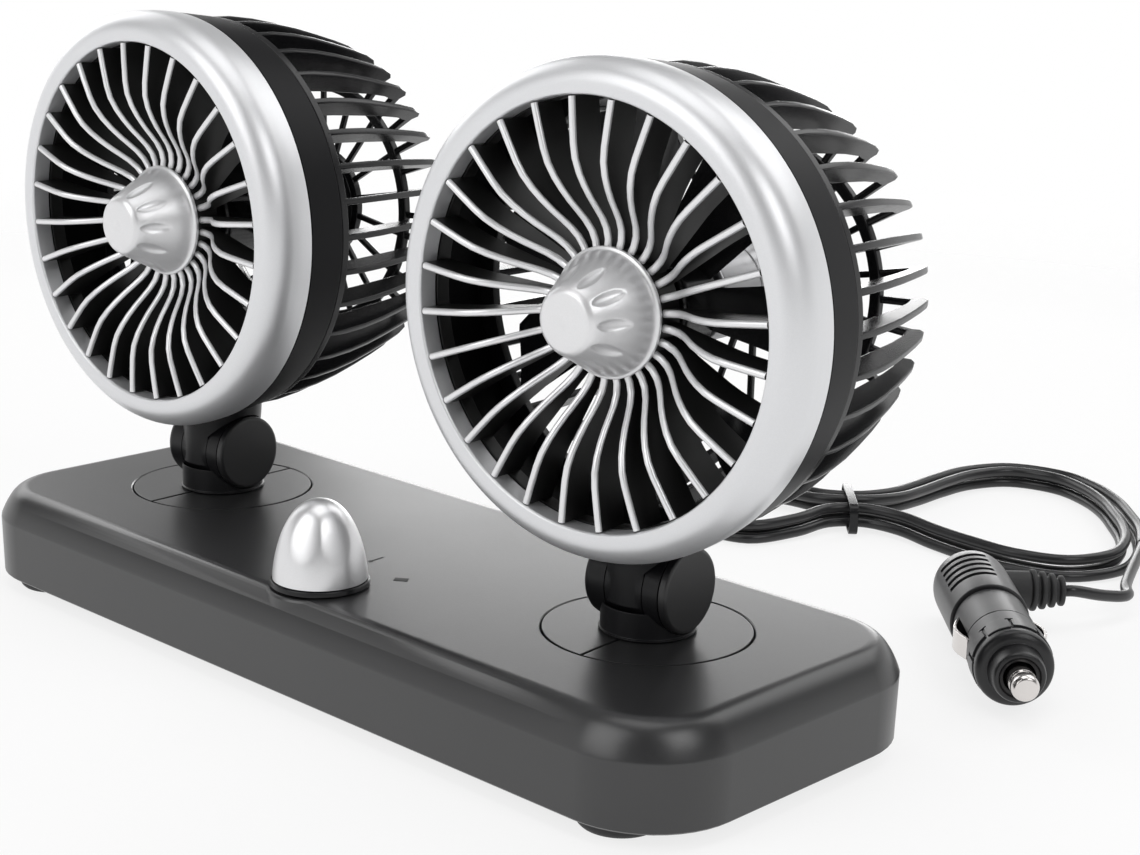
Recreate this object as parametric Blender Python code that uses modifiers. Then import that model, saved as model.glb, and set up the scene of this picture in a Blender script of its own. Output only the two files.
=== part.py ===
"""Dual head car fan: two fan heads that swivel and tilt on one flat base, with a knob and a 12 V plug.

Metres, +Z up. The origin is on the table, under the middle of the base, and the fans face -Y.
"""
import bmesh
import bpy
from math import atan2, cos, pi, radians, sin
from mathutils import Matrix, Vector

# Clearances that several pieces share
GAP = 0.0003
OVERRUN = 0.004
OVERLAP = 0.0006

# Base
BASE_LENGTH = 0.280
BASE_WIDTH = 0.1064
BASE_CORNER = 0.0255
BASE_DRAFT = 0.0008
BASE_WALL = 0.0024
FOOT_HEIGHT = 0.0040
SIDE_TOP = 0.0212
DECK_TOP = 0.0298
DECK_WALL = 0.0026
CROWN_RUN = 0.010
PLATE_THICKNESS = 0.0022
FOOT_RADIUS = 0.0105
FOOT_FROM_END = 0.0240
FOOT_FROM_SIDE = 0.0145
FOOT_X = BASE_LENGTH / 2 - FOOT_FROM_END
FOOT_Y = BASE_WIDTH / 2 - FOOT_FROM_SIDE
FOOT_EDGE = 0.0012

# Turntables in the deck
TURN_FROM_END = 0.0533
TURN_X = BASE_LENGTH / 2 - TURN_FROM_END
TURN_Y = 0.0021
DISC_RADIUS = 0.0265
DISC_THICKNESS = 0.0026
DISC_SLIT = 0.0005
SEAT_RING = 0.0030
SEAT_FLOOR = 0.0024
SPIGOT_RADIUS = 0.0085
RETAINER_RADIUS = 0.0125
RETAINER_THICKNESS = 0.0018

# Speed knob and switch
KNOB_X = 0.0060
KNOB_FROM_SIDE = 0.0167
KNOB_Y = KNOB_FROM_SIDE - BASE_WIDTH / 2
KNOB_RADIUS = 0.0125
KNOB_HEIGHT = 0.0231
KNOB_SKIRT = 0.0021
KNOB_POINTER = radians(141)
DISH_TURN = radians(25)
DISH_WIDTH = 0.0112
DISH_HEIGHT = 0.0176
DISH_MIDDLE = 0.0125
DISH_SINK = 0.0011
PAD_RADIUS = 0.0138
PAD_FOOT = 0.0008
SHAFT_RADIUS = 0.0030
SHAFT_REACH = 0.0110
SWITCH_SIZE = 0.0170
SWITCH_DEPTH = 0.0105
SWITCH_NECK_RADIUS = 0.0046
SWITCH_NECK = 0.0040

# Knuckle under each head
COLLAR_RADIUS = 0.0120
COLLAR_HEIGHT = 0.0074
COLLAR_FOOT = 0.0012
COLLAR_FLARE = 0.0006
PIVOT_HEIGHT = 0.0422
KNUCKLE_RADIUS = 0.0109
LUG_INNER = 0.0059
LUG_OUTER = 0.0128
LUG_EDGE = 0.0014
CAP_THICKNESS = 0.0021
PIN_RADIUS = 0.0024
TONGUE_PLAY = 0.0003
KNUCKLE_PLAY = 0.0004
NECK_RADIUS = 0.0120
TILT_REACH = radians(35)

# Head: depths run back from the front opening, along the head's axis
OPENING_AHEAD = 0.0297
HEAD_TURN = {"left": radians(2), "right": radians(5)}
OPENING_RADIUS = 0.0509
LIP_WIDTH = 0.0063
LIP_RADIUS = OPENING_RADIUS + LIP_WIDTH
LIP_FALL = 0.0010
LIP_ROUND = 0.0014
BULGE = 0.0022
BULGE_RADIUS = LIP_RADIUS + BULGE
BULGE_DEPTH = 0.0080
SEAM_FALL = 0.0004
SEAM_RADIUS = BULGE_RADIUS - SEAM_FALL
SEAM_DEPTH = 0.0142
BEZEL_WALL = 0.0020
SLEEVE_DEPTH = 0.0060
SLEEVE_WALL = 0.0014
HOUSING_TAPER = 0.0016
HOUSING_REAR_RADIUS = SEAM_RADIUS - HOUSING_TAPER
HOUSING_DEPTH = 0.0268
HOUSING_WALL = 0.0022
NECK_LENGTH = 0.0130
HEAD_RISE = HOUSING_REAR_RADIUS + NECK_LENGTH

# Front grille: plain radial vanes whose front edges dip towards the hub
VANE_COUNT = 28
VANE_THICKNESS = 0.0015
VANE_DEPTH = 0.0098
VANE_RIM_DEPTH = 0.0006
VANE_ROOT_DEPTH = 0.0106
VANE_BEND = 0.0124
VANE_FLAT_RADIUS = OPENING_RADIUS - VANE_BEND
GRILLE_RING_WALL = 0.0020
GRILLE_RING_DEPTH = 0.0042
GRILLE_HUB_RADIUS = 0.0153
GRILLE_HUB_DEPTH = 0.0070
GRILLE_HUB_WALL = 0.0020

# Hub cap
HUB_RADIUS = 0.0157
HUB_NOSE_RADIUS = 0.0072
HUB_NOSE_AHEAD = 0.0067
FLUTE_COUNT = 10
FLUTE_RADIUS = 0.0020
FLUTE_LENGTH = 0.0070
FLUTE_SINK = 0.0008
FLUTE_TURN = radians(0)

# Rear cage
FIN_COUNT = 36
FIN_THICKNESS = 0.0016
FIN_STEP = 0.0003
FIN_RADIUS = HOUSING_REAR_RADIUS - FIN_STEP
FIN_TAPER = 0.0097
FIN_TIP_RADIUS = FIN_RADIUS - FIN_TAPER
CAGE_DEPTH = 0.0770
CAGE_RING_DEPTH = 0.0024
CAGE_RING_WALL = 0.0068
CAGE_RING_INNER = FIN_RADIUS - CAGE_RING_WALL
FIN_BAND = 0.0070
TIP_BAND = 0.0030
REAR_RING_STEP = 0.0104
REAR_RING_RADIUS = FIN_TIP_RADIUS - REAR_RING_STEP
REAR_RING_BAND = 0.0030
REAR_RING_DEPTH = 0.0024
REAR_RING_IN = 0.0070
REAR_RING_FRONT = CAGE_DEPTH - REAR_RING_IN
SPOKE_COUNT = FIN_COUNT // 2
SPOKE_DEPTH = 0.0020
MOTOR_PLATE_RADIUS = 0.0165
MOTOR_CUP_DEPTH = 0.0050
MOTOR_CUP_WALL = 0.0016

# Motor and impeller
MOTOR_RADIUS = 0.0122
MOTOR_LENGTH = 0.0290
MOTOR_BOSS_RADIUS = 0.0050
MOTOR_BOSS = 0.0015
MOTOR_SHAFT_RADIUS = 0.0012
MOTOR_SHAFT_SINK = 0.0080
BLADE_COUNT = 7
BLADE_CLEARANCE = 0.0033
BLADE_RADIUS = CAGE_RING_INNER - BLADE_CLEARANCE
BLADE_THICKNESS = 0.0012
BLADE_CHORD_ROOT = 0.0150
BLADE_CHORD_TIP = 0.0250
BLADE_PITCH_ROOT = radians(42)
BLADE_PITCH_TIP = radians(24)
IMPELLER_HUB_RADIUS = 0.0140
IMPELLER_HUB_FRONT = 0.0215
IMPELLER_HUB_LENGTH = 0.0130

# Plug: its axis lies on the table, distances run from its rear end to its tip
PLUG_X = 0.0880
PLUG_Y = 0.1440
PLUG_HEADING = radians(-46.6)
PLUG_RADIUS = 0.0112
PLUG_BODY_LENGTH = 0.0385
PLUG_FRONT_RADIUS = 0.0104
PLUG_FRONT_LENGTH = 0.0260
PLUG_NOSE_RADIUS = 0.0108
PLUG_NOSE_LENGTH = 0.0170
PLUG_NOSE_FACE = 0.0062
PLUG_TIP_RADIUS = 0.0037
PLUG_TIP_OUT = 0.0085
PLUG_TIP_SINK = 0.0070
PLUG_TIP_TRAVEL = 0.0030
CONTACT_WIDTH = 0.0060
CONTACT_LENGTH = 0.0170
CONTACT_THICKNESS = 0.0010
CONTACT_OUT = 0.0022
CONTACT_TRAVEL = 0.0015
GROOVE_COUNT = 5
GROOVE_WIDTH = 0.0011
GROOVE_DEPTH = 0.0009
GROOVE_PITCH = 0.0026
BOOT_FROM_REAR = 0.0085
BOOT_RADIUS = 0.0056
BOOT_NECK = 0.0060
BOOT_RIB_RADIUS = 0.0062
BOOT_RIB_COUNT = 4
BOOT_RIB_PITCH = 0.0028

# Cord
CORD_DIAMETER = 0.0035
GLAND_X = 0.0
GLAND_Z = 0.0125
GLAND_RADIUS = 0.0044
GLAND_FLANGE = 0.0058
GLAND_FLANGE_DEPTH = 0.0016
GLAND_LENGTH = 0.0180
GLAND_END_RADIUS = 0.0029
GLAND_RIB_COUNT = 4
GLAND_RIB = 0.0006
HANK_X = 0.0080
HANK_Y = 0.1940
HANK_HEADING = radians(42)
HANK_REACH = {"far": 0.0880, "near": 0.0500}
HANK_SPREAD = {"far": 0.0480, "near": 0.0200}
HANK_WAIST = 0.0028
HANK_STEP = 0.0053
HANK_LAYER = 0.0044
HANK_START_POINTS = -2
HANK_IN_POINTS = 38
HANK_OUT_POINTS = 48
TIE_THICKNESS = 0.0010
TIE_WIDTH = 0.0030
CORD_STEP = 2.5 * CORD_DIAMETER
LEAD_ROUTE = ((-0.0010, 0.0820, 0.0088), (-0.0050, 0.0960, 0.0024), (-0.0140, 0.1120, 0.0021))
TAIL_ROUTE = ((0.1200, 0.1690, 0.0085), (0.1215, 0.1800, 0.0065), (0.1150, 0.1910, 0.0062))

# Facets
ROUND = 40
MIDDLE_ROUND = 24
SMALL_ROUND = 14
DISC_ROUND = 32
CURVE_FINE = 16
CORNER_STEPS = 6
LOOP_POINTS = 28

# Shares, chosen by hand, of the sizes that they follow
CROWN_SHARES = ((0.10, 0.27), (0.26, 0.59), (0.50, 0.875), (1.0, 1.0))
KNOB_SHARES = (0.0, 0.17, 0.34, 0.52, 0.70, 0.84, 0.94)
KNOB_FULLNESS_SHARES = (1.8, 0.57)
HUB_SHARES = ((0.0, 0.0), (0.62, 0.0), (0.80, 0.03), (1.0, 0.10))
HUB_FLANK_SHARES = ((0.12, 0.30), (0.38, 0.56), (0.68, 0.80), (0.90, 0.93))
VANE_DIP_SHARES = ((0.0, 1.0), (0.15, 0.98), (0.50, 0.50), (1.0, 0.0))
FIN_OUTER_SHARES = ((0.18, 0.01), (0.68, 0.50))
FIN_INNER_SHARES = ((0.52, 0.30),)
BLADE_CAMBER_SHARE = 0.083
PLUG_REAR_SHARES = ((0.62, 0.06), (0.88, 0.25), (1.0, 0.62))
PLUG_TIP_SHARES = (0.70, 0.40)
CONTACT_START_SHARE = 0.6
BOOT_TAPER_SHARE = 0.09
BOOT_ROOT_SHARE = 0.72
LOBE_SHARES = {"far": ((0.20, 0.16), (0.43, 0.66), (0.66, 1.0), (0.88, 0.86), (0.98, 0.44), (1.0, 0.0)),
               "near": ((0.26, 0.22), (0.52, 0.82), (0.80, 1.0), (0.97, 0.50), (1.0, 0.0))}

def clear_scene():
    for obj in list(bpy.data.objects):
        bpy.data.objects.remove(obj, do_unlink=True)


def make_collections():
    scene = bpy.context.scene.collection
    made = []
    for name in ("dual_head_car_fan", "cutters"):
        group = bpy.data.collections.new(name)
        scene.children.link(group)
        made.append(group)
    return made


def material(name, color, roughness, metallic=0.0):
    made = bpy.data.materials.new(name)
    made.use_nodes = True
    shader = made.node_tree.nodes["Principled BSDF"]
    shader.inputs["Base Color"].default_value = (*color, 1.0)
    shader.inputs["Roughness"].default_value = roughness
    shader.inputs["Metallic"].default_value = metallic
    made.diffuse_color = (*color, 1.0)
    return made


def place(obj, parent=None, matrix=None):
    """Puts an object under its parent frame, at matrix in that frame."""
    obj.parent = parent
    obj.matrix_parent_inverse = Matrix()
    obj.matrix_local = matrix or Matrix()
    return obj


def frame(name, parent=None, matrix=None):
    empty = bpy.data.objects.new(name, None)
    empty.empty_display_size = PIVOT_HEIGHT
    parts.objects.link(empty)
    return place(empty, parent, matrix)


def add_part(name, mesh, paint, parent=None, matrix=None):
    obj = bpy.data.objects.new(name, mesh)
    mesh.materials.clear()
    mesh.materials.append(paint)
    parts.objects.link(obj)
    return place(obj, parent, matrix)


def add_cutter(name, mesh, parent=None, matrix=None):
    obj = bpy.data.objects.new(name, mesh)
    obj.hide_render = True
    obj.display_type = "WIRE"
    cutters.objects.link(obj)
    return place(obj, parent, matrix)


def boolean(obj, other, operation):
    modifier = obj.modifiers.new(operation.lower(), "BOOLEAN")
    modifier.operation = operation
    modifier.solver = "EXACT"
    modifier.object = other


def cut(obj, other):
    boolean(obj, other, "DIFFERENCE")


def join(obj, other):
    boolean(obj, other, "UNION")


def mesh_from(name, bm):
    bmesh.ops.recalc_face_normals(bm, faces=bm.faces)
    mesh = bpy.data.meshes.new(name)
    bm.to_mesh(mesh)
    bm.free()
    return mesh


def profile_mesh(name, profile, closed):
    """Edges through (radius, height) points, ordered so that a Screw faces outwards."""
    ring = profile if closed else profile + [(0.0, profile[-1][1]), (0.0, profile[0][1])]
    area = sum(a[0] * b[1] - b[0] * a[1] for a, b in zip(ring, ring[1:] + ring[:1]))
    if area > 0:
        profile = profile[::-1]
    mesh = bpy.data.meshes.new(name)
    edges = [(i, i + 1) for i in range(len(profile) - 1)]
    if closed:
        edges.append((len(profile) - 1, 0))
    mesh.from_pydata([(r, 0.0, z) for r, z in profile], edges, [])
    return mesh


def screw(obj, steps, phase=0.5):
    """Turns the profile round Z; phase is the share of a facet by which the first edge is set on."""
    obj.data.transform(Matrix.Rotation(phase * 2 * pi / steps, 4, "Z"))
    modifier = obj.modifiers.new("turned", "SCREW")
    modifier.axis = "Z"
    modifier.angle = 2 * pi
    modifier.steps = modifier.render_steps = steps
    modifier.use_merge_vertices = True
    modifier.merge_threshold = GAP / 10
    modifier.use_smooth_shade = True
    return obj


def turned(name, profile, paint, steps=ROUND, closed=False, parent=None, matrix=None, phase=0.5):
    obj = add_part(name, profile_mesh(name, profile, closed), paint, parent, matrix)
    return screw(obj, steps, phase)


def turned_cutter(name, profile, steps=ROUND, closed=False, parent=None, matrix=None, phase=0.5):
    obj = add_cutter(name, profile_mesh(name, profile, closed), parent, matrix)
    return screw(obj, steps, phase)


def cylinder_mesh(name, radius, low, high, steps=SMALL_ROUND, turn=None):
    """A cylinder along Z between two heights, then turned by a matrix."""
    bm = bmesh.new()
    shift = Matrix.Translation((0, 0, (low + high) / 2)) @ Matrix.Rotation(pi / 2, 4, "Z")
    bmesh.ops.create_cone(bm, cap_ends=True, segments=steps, radius1=radius, radius2=radius,
                          depth=high - low, matrix=(turn or Matrix()) @ shift)
    return mesh_from(name, bm)


def box_mesh(name, low, high, turn=None):
    bm = bmesh.new()
    low, high = Vector(low), Vector(high)
    grow = Matrix.Diagonal((*(high - low), 1.0))
    place = (turn or Matrix()) @ Matrix.Translation((low + high) / 2) @ grow
    bmesh.ops.create_cube(bm, size=1.0, matrix=place)
    return mesh_from(name, bm)


def rounded_outline(length, width, radius):
    """Corner arcs of a rounded rectangle, counterclockwise."""
    points = []
    for quarter in range(4):
        middle = (quarter + 0.5) * pi / 2
        x = (length / 2 - radius) * (1 if cos(middle) > 0 else -1)
        y = (width / 2 - radius) * (1 if sin(middle) > 0 else -1)
        for step in range(CORNER_STEPS + 1):
            angle = quarter * pi / 2 + step / CORNER_STEPS * pi / 2
            points.append((x + radius * cos(angle), y + radius * sin(angle)))
    return points


def lofted_mesh(name, outlines):
    """A closed solid through (outline, height) sections with equal point counts."""
    bm = bmesh.new()
    rings = [[bm.verts.new((x, y, z)) for x, y in outline] for outline, z in outlines]
    for lower, upper in zip(rings, rings[1:]):
        for i in range(len(lower)):
            j = (i + 1) % len(lower)
            bm.faces.new((lower[i], lower[j], upper[j], upper[i]))
    bm.faces.new(rings[0][::-1])
    bm.faces.new(rings[-1])
    return mesh_from(name, bm)


def base_section(inset):
    return rounded_outline(BASE_LENGTH - 2 * inset, BASE_WIDTH - 2 * inset,
                           max(BASE_CORNER - inset, BASE_CORNER / 4))


def plates_around(name, outline, thickness, count, first=0.0):
    """Flat plates of one (radius, depth) outline, set in planes through the Z axis."""
    bm = bmesh.new()
    for k in range(count):
        turn = Matrix.Rotation(first + k * 2 * pi / count, 4, "Z")
        face = bm.faces.new([bm.verts.new(turn @ Vector((r, -thickness / 2, d))) for r, d in outline])
        grown = bmesh.ops.extrude_face_region(bm, geom=[face])["geom"]
        side = turn @ Vector((0, thickness, 0))
        bmesh.ops.translate(bm, vec=side, verts=[v for v in grown if isinstance(v, bmesh.types.BMVert)])
    return mesh_from(name, bm)


def along_x():
    return Matrix.Rotation(pi / 2, 4, "Y")


def base_cover():
    height = DECK_TOP - SIDE_TOP
    outer = [(base_section(BASE_DRAFT), FOOT_HEIGHT), (base_section(0.0), SIDE_TOP)]
    outer += [(base_section(CROWN_RUN * inward), SIDE_TOP + height * up) for inward, up in CROWN_SHARES]
    cover = add_part("base_cover", lofted_mesh("base_cover", outer), plastic_deck)
    inner_top = DECK_TOP - DECK_WALL
    hollow = [(base_section(BASE_WALL + BASE_DRAFT), FOOT_HEIGHT - OVERRUN),
              (base_section(BASE_WALL), SIDE_TOP - DECK_WALL),
              (base_section(BASE_WALL + CROWN_RUN / 2), inner_top)]
    cut(cover, add_cutter("cover_hollow", lofted_mesh("cover_hollow", hollow)))
    seat_radius = DISC_RADIUS + DISC_SLIT
    seat_depth = DISC_THICKNESS + GAP
    for side in ("left", "right"):
        middle = Matrix.Translation((turn_x(side), TURN_Y, DECK_TOP))
        block = solid_profile((seat_radius + SEAT_RING, -DECK_WALL / 2),
                              (seat_radius + SEAT_RING, -seat_depth - SEAT_FLOOR))
        join(cover, turned_cutter(side + "_seat_block", block, DISC_ROUND, matrix=middle))
        well = solid_profile((seat_radius, OVERRUN), (seat_radius, -seat_depth))
        cut(cover, turned_cutter(side + "_seat_well", well, DISC_ROUND, matrix=middle))
        name = side + "_spigot_hole"
        hole = cylinder_mesh(name, SPIGOT_RADIUS + GAP, -SWITCH_SIZE, OVERRUN, MIDDLE_ROUND)
        cut(cover, add_cutter(name, hole, matrix=middle))
    knob_place = Matrix.Translation((KNOB_X, KNOB_Y, DECK_TOP))
    pad = solid_profile((PAD_RADIUS, -GAP), (PAD_RADIUS + PAD_FOOT, -height - OVERLAP))
    join(cover, turned_cutter("knob_pad", pad, SMALL_ROUND, matrix=knob_place))
    bore = cylinder_mesh("knob_bore", SWITCH_NECK_RADIUS + GAP, -SWITCH_SIZE, OVERRUN)
    cut(cover, add_cutter("knob_bore", bore, matrix=knob_place))
    backward = Matrix.Rotation(-pi / 2, 4, "X")
    gland = cylinder_mesh("gland_bore", GLAND_RADIUS + GAP, -OVERRUN, OVERRUN, turn=backward)
    gland_place = Matrix.Translation((GLAND_X, BASE_WIDTH / 2, GLAND_Z))
    cut(cover, add_cutter("gland_bore", gland, matrix=gland_place))


def solid_profile(*points):
    """A profile whose ends run to the axis."""
    return [(0.0, points[0][1]), *points, (0.0, points[-1][1])]


def turn_x(side):
    return TURN_X if side == "right" else -TURN_X


def base_bottom():
    inset = BASE_WALL + BASE_DRAFT + GAP
    sections = [(base_section(inset), FOOT_HEIGHT), (base_section(inset), FOOT_HEIGHT + PLATE_THICKNESS)]
    add_part("base_plate", lofted_mesh("base_plate", sections), plastic_black)
    top = FOOT_HEIGHT - GAP
    for depth, y in (("front", -FOOT_Y), ("rear", FOOT_Y)):
        for side, x in (("left", -FOOT_X), ("right", FOOT_X)):
            turned(f"foot_{depth}_{side}", [
                (0.0, top), (FOOT_RADIUS, top), (FOOT_RADIUS, FOOT_EDGE), (FOOT_RADIUS - FOOT_EDGE, 0.0),
                (0.0, 0.0)], rubber_black, steps=SMALL_ROUND, matrix=Matrix.Translation((x, y, 0)))


def knob_and_switch():
    turn = frame("knob_axis", matrix=Matrix.Translation((KNOB_X, KNOB_Y, DECK_TOP)))
    skirt_low = GAP
    dome_low = skirt_low + KNOB_SKIRT + GAP
    turned("knob_skirt", [
        (SHAFT_RADIUS + GAP, skirt_low + KNOB_SKIRT), (KNOB_RADIUS + GAP, skirt_low + KNOB_SKIRT),
        (KNOB_RADIUS + 2 * GAP, skirt_low), (SHAFT_RADIUS + GAP, skirt_low)],
        plastic_black, steps=MIDDLE_ROUND, closed=True, parent=turn)
    knob = add_part("speed_knob", knob_dome(dome_low), silver_knob, turn)
    bore = cylinder_mesh("knob_shaft_bore", SHAFT_RADIUS + GAP, -OVERRUN, SHAFT_REACH + GAP)
    cut(knob, add_cutter("knob_shaft_bore", bore, parent=turn))
    deck_under = -DECK_WALL
    shaft_low = deck_under - SWITCH_NECK
    turned("switch_shaft", [(0.0, SHAFT_REACH), (SHAFT_RADIUS, SHAFT_REACH), (SHAFT_RADIUS, shaft_low),
                            (0.0, shaft_low)], metal_steel, steps=SMALL_ROUND, parent=turn)
    half = SWITCH_SIZE / 2
    top = SIDE_TOP - DECK_TOP - OVERLAP - GAP
    place_switch = Matrix.Translation((KNOB_X, KNOB_Y, DECK_TOP))
    low = (-half, -half / 2, top - SWITCH_DEPTH)
    body = add_part("switch_body", box_mesh("switch_body", low, (half, half, top)),
                    plastic_black, matrix=place_switch)
    neck = cylinder_mesh("switch_neck", SWITCH_NECK_RADIUS, top - OVERLAP, -GAP)
    join(body, add_cutter("switch_neck", neck, matrix=place_switch))
    well = cylinder_mesh("switch_well", SHAFT_RADIUS + GAP, shaft_low - GAP, OVERRUN)
    cut(body, add_cutter("switch_well", well, matrix=place_switch))


def knob_dome(low):
    """Bullet dome with a pair of shallow finger dishes beside each end of its pointer line."""
    rise = KNOB_HEIGHT - low
    power, fullness = KNOB_FULLNESS_SHARES
    rings = []
    for share in KNOB_SHARES:
        height = low + rise * share
        radius = KNOB_RADIUS * (1 - share ** power) ** fullness
        ring = []
        for k in range(ROUND):
            angle = (k + 0.5) * 2 * pi / ROUND
            pressed = radius - finger_dish(angle, radius, height)
            ring.append((pressed * cos(angle), pressed * sin(angle)))
        rings.append((ring, height))
    top = [(GAP * cos(2 * pi * k / ROUND), GAP * sin(2 * pi * k / ROUND)) for k in range(ROUND)]
    return lofted_mesh("speed_knob", rings + [(top, KNOB_HEIGHT)])


def finger_dish(angle, radius, height):
    """How far the deepest dish at this place sinks the dome."""
    sinks = [0.0]
    for ridge in (KNOB_POINTER, KNOB_POINTER + pi):
        for way in (-1, 1):
            turn = (angle - ridge - way * DISH_TURN + pi) % (2 * pi) - pi
            across, up = turn * radius * 2 / DISH_WIDTH, (height - DISH_MIDDLE) * 2 / DISH_HEIGHT
            sinks.append(DISH_SINK * (1 - across ** 2 - up ** 2))
    return max(sinks)


def turntable(side, swivel):
    """Two half discs that close round the collar, flush with the deck."""
    hole = SPIGOT_RADIUS + GAP
    for half, way in (("outer", 1), ("inner", -1)):
        disc = turned(f"{side}_turntable_{half}", [
            (hole, 0.0), (DISC_RADIUS, 0.0), (DISC_RADIUS, -DISC_THICKNESS), (hole, -DISC_THICKNESS)],
            plastic_deck, steps=DISC_ROUND, closed=True, parent=swivel)
        reach = DISC_RADIUS + OVERRUN
        edge = way * GAP / 2
        low_x, high_x = sorted((edge, -way * reach))
        away = box_mesh("half_cut", (low_x, -reach, -reach), (high_x, reach, reach))
        cut(disc, add_cutter("half_cut", away, parent=swivel))


def knuckle(side, swivel, tilt):
    rise = PIVOT_HEIGHT - DECK_TOP
    floor_low = -(DISC_THICKNESS + GAP + SEAT_FLOOR)
    spigot_low = floor_low - GAP - RETAINER_THICKNESS - GAP
    foot = GAP + COLLAR_FOOT
    yoke = turned(side + "_yoke", [
        (0.0, COLLAR_HEIGHT), (COLLAR_RADIUS, COLLAR_HEIGHT), (COLLAR_RADIUS, foot + COLLAR_FLARE),
        (COLLAR_RADIUS + COLLAR_FLARE, foot), (COLLAR_RADIUS + COLLAR_FLARE, GAP), (SPIGOT_RADIUS, GAP),
        (SPIGOT_RADIUS, spigot_low), (0.0, spigot_low)], plastic_knuckle, steps=MIDDLE_ROUND, parent=swivel)
    at_pivot = Matrix.Translation((0, 0, rise))
    cap_inner = LUG_OUTER - CAP_THICKNESS
    lug_cap = cap_inner - GAP
    lugs = turned_cutter(side + "_lugs", [
        (0.0, lug_cap), (KNUCKLE_RADIUS, lug_cap), (KNUCKLE_RADIUS, LUG_EDGE - LUG_OUTER),
        (KNUCKLE_RADIUS - LUG_EDGE, -LUG_OUTER), (0.0, -LUG_OUTER)],
        steps=MIDDLE_ROUND, parent=swivel, matrix=at_pivot @ along_x())
    join(yoke, lugs)
    slot = cylinder_mesh(side + "_slot", KNUCKLE_RADIUS + KNUCKLE_PLAY, -LUG_INNER, LUG_INNER, MIDDLE_ROUND,
                         turn=along_x())
    cut(yoke, add_cutter(side + "_slot", slot, parent=swivel, matrix=at_pivot))
    room = cylinder_mesh(side + "_cap_room", KNUCKLE_RADIUS + GAP, lug_cap, LUG_OUTER + OVERRUN,
                         MIDDLE_ROUND, turn=along_x())
    cut(yoke, add_cutter(side + "_cap_room", room, parent=swivel, matrix=at_pivot))
    bore_end = cap_inner + OVERRUN
    bore = cylinder_mesh(side + "_pin_bore", PIN_RADIUS + GAP, -cap_inner, bore_end, turn=along_x())
    cut(yoke, add_cutter(side + "_pin_bore", bore, parent=swivel, matrix=at_pivot))
    turned(side + "_swivel_retainer", [
        (SPIGOT_RADIUS + GAP, floor_low - GAP), (RETAINER_RADIUS, floor_low - GAP),
        (RETAINER_RADIUS, floor_low - GAP - RETAINER_THICKNESS),
        (SPIGOT_RADIUS + GAP, floor_low - GAP - RETAINER_THICKNESS)],
        metal_steel, steps=SMALL_ROUND, closed=True, parent=swivel)
    pin_end = cap_inner - GAP
    add_part(side + "_pivot_pin", cylinder_mesh(side + "_pivot_pin", PIN_RADIUS, -pin_end, pin_end,
                                                turn=along_x()), metal_steel, swivel, at_pivot)
    turned(side + "_pivot_cap", [
        (0.0, LUG_OUTER), (KNUCKLE_RADIUS - GAP, LUG_OUTER), (KNUCKLE_RADIUS, LUG_OUTER - GAP),
        (KNUCKLE_RADIUS, cap_inner), (0.0, cap_inner)],
        plastic_knuckle, steps=MIDDLE_ROUND, parent=swivel, matrix=at_pivot @ along_x())
    neck_piece(side, tilt)


def neck_piece(side, tilt):
    """Round column under the housing, cut away round the lugs so that its tongue fits between them."""
    tongue_half = LUG_INNER - TONGUE_PLAY
    collar_top = PIVOT_HEIGHT - DECK_TOP - COLLAR_HEIGHT
    foot = (NECK_RADIUS * sin(TILT_REACH) - collar_top + 2 * GAP) / cos(TILT_REACH)
    top = NECK_LENGTH + NECK_RADIUS / 2
    column = cylinder_mesh(side + "_neck", NECK_RADIUS, foot, top, MIDDLE_ROUND)
    neck = add_part(side + "_neck", column, plastic_knuckle, tilt)
    reach = NECK_RADIUS + OVERRUN
    for way in (-1, 1):
        low, high = sorted((way * tongue_half, way * reach))
        round_lug = cylinder_mesh("lug_room", KNUCKLE_RADIUS + KNUCKLE_PLAY, low, high, MIDDLE_ROUND,
                                  turn=along_x())
        cut(neck, add_cutter("lug_room", round_lug, parent=tilt))
    tongue = cylinder_mesh("tongue", KNUCKLE_RADIUS, -tongue_half, tongue_half, MIDDLE_ROUND,
                           turn=along_x())
    join(neck, add_cutter("tongue", tongue, parent=tilt))
    bore = cylinder_mesh("tongue_bore", PIN_RADIUS + GAP, -reach, reach, turn=along_x())
    cut(neck, add_cutter("tongue_bore", bore, parent=tilt))
    seam, rear = SEAM_RADIUS + GAP, HOUSING_REAR_RADIUS + GAP
    room = solid_profile((seam, SEAM_DEPTH - NECK_RADIUS), (seam, SEAM_DEPTH), (rear, HOUSING_DEPTH),
                         (rear, CAGE_DEPTH))
    cut(neck, turned_cutter("head_room", room, parent=tilt, matrix=head_matrix()))


def head_matrix():
    """Head frame in the tilt frame: Z runs back along the head's axis from the opening."""
    return Matrix.Translation((0, -OPENING_AHEAD, HEAD_RISE)) @ Matrix.Rotation(-pi / 2, 4, "X")


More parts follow.
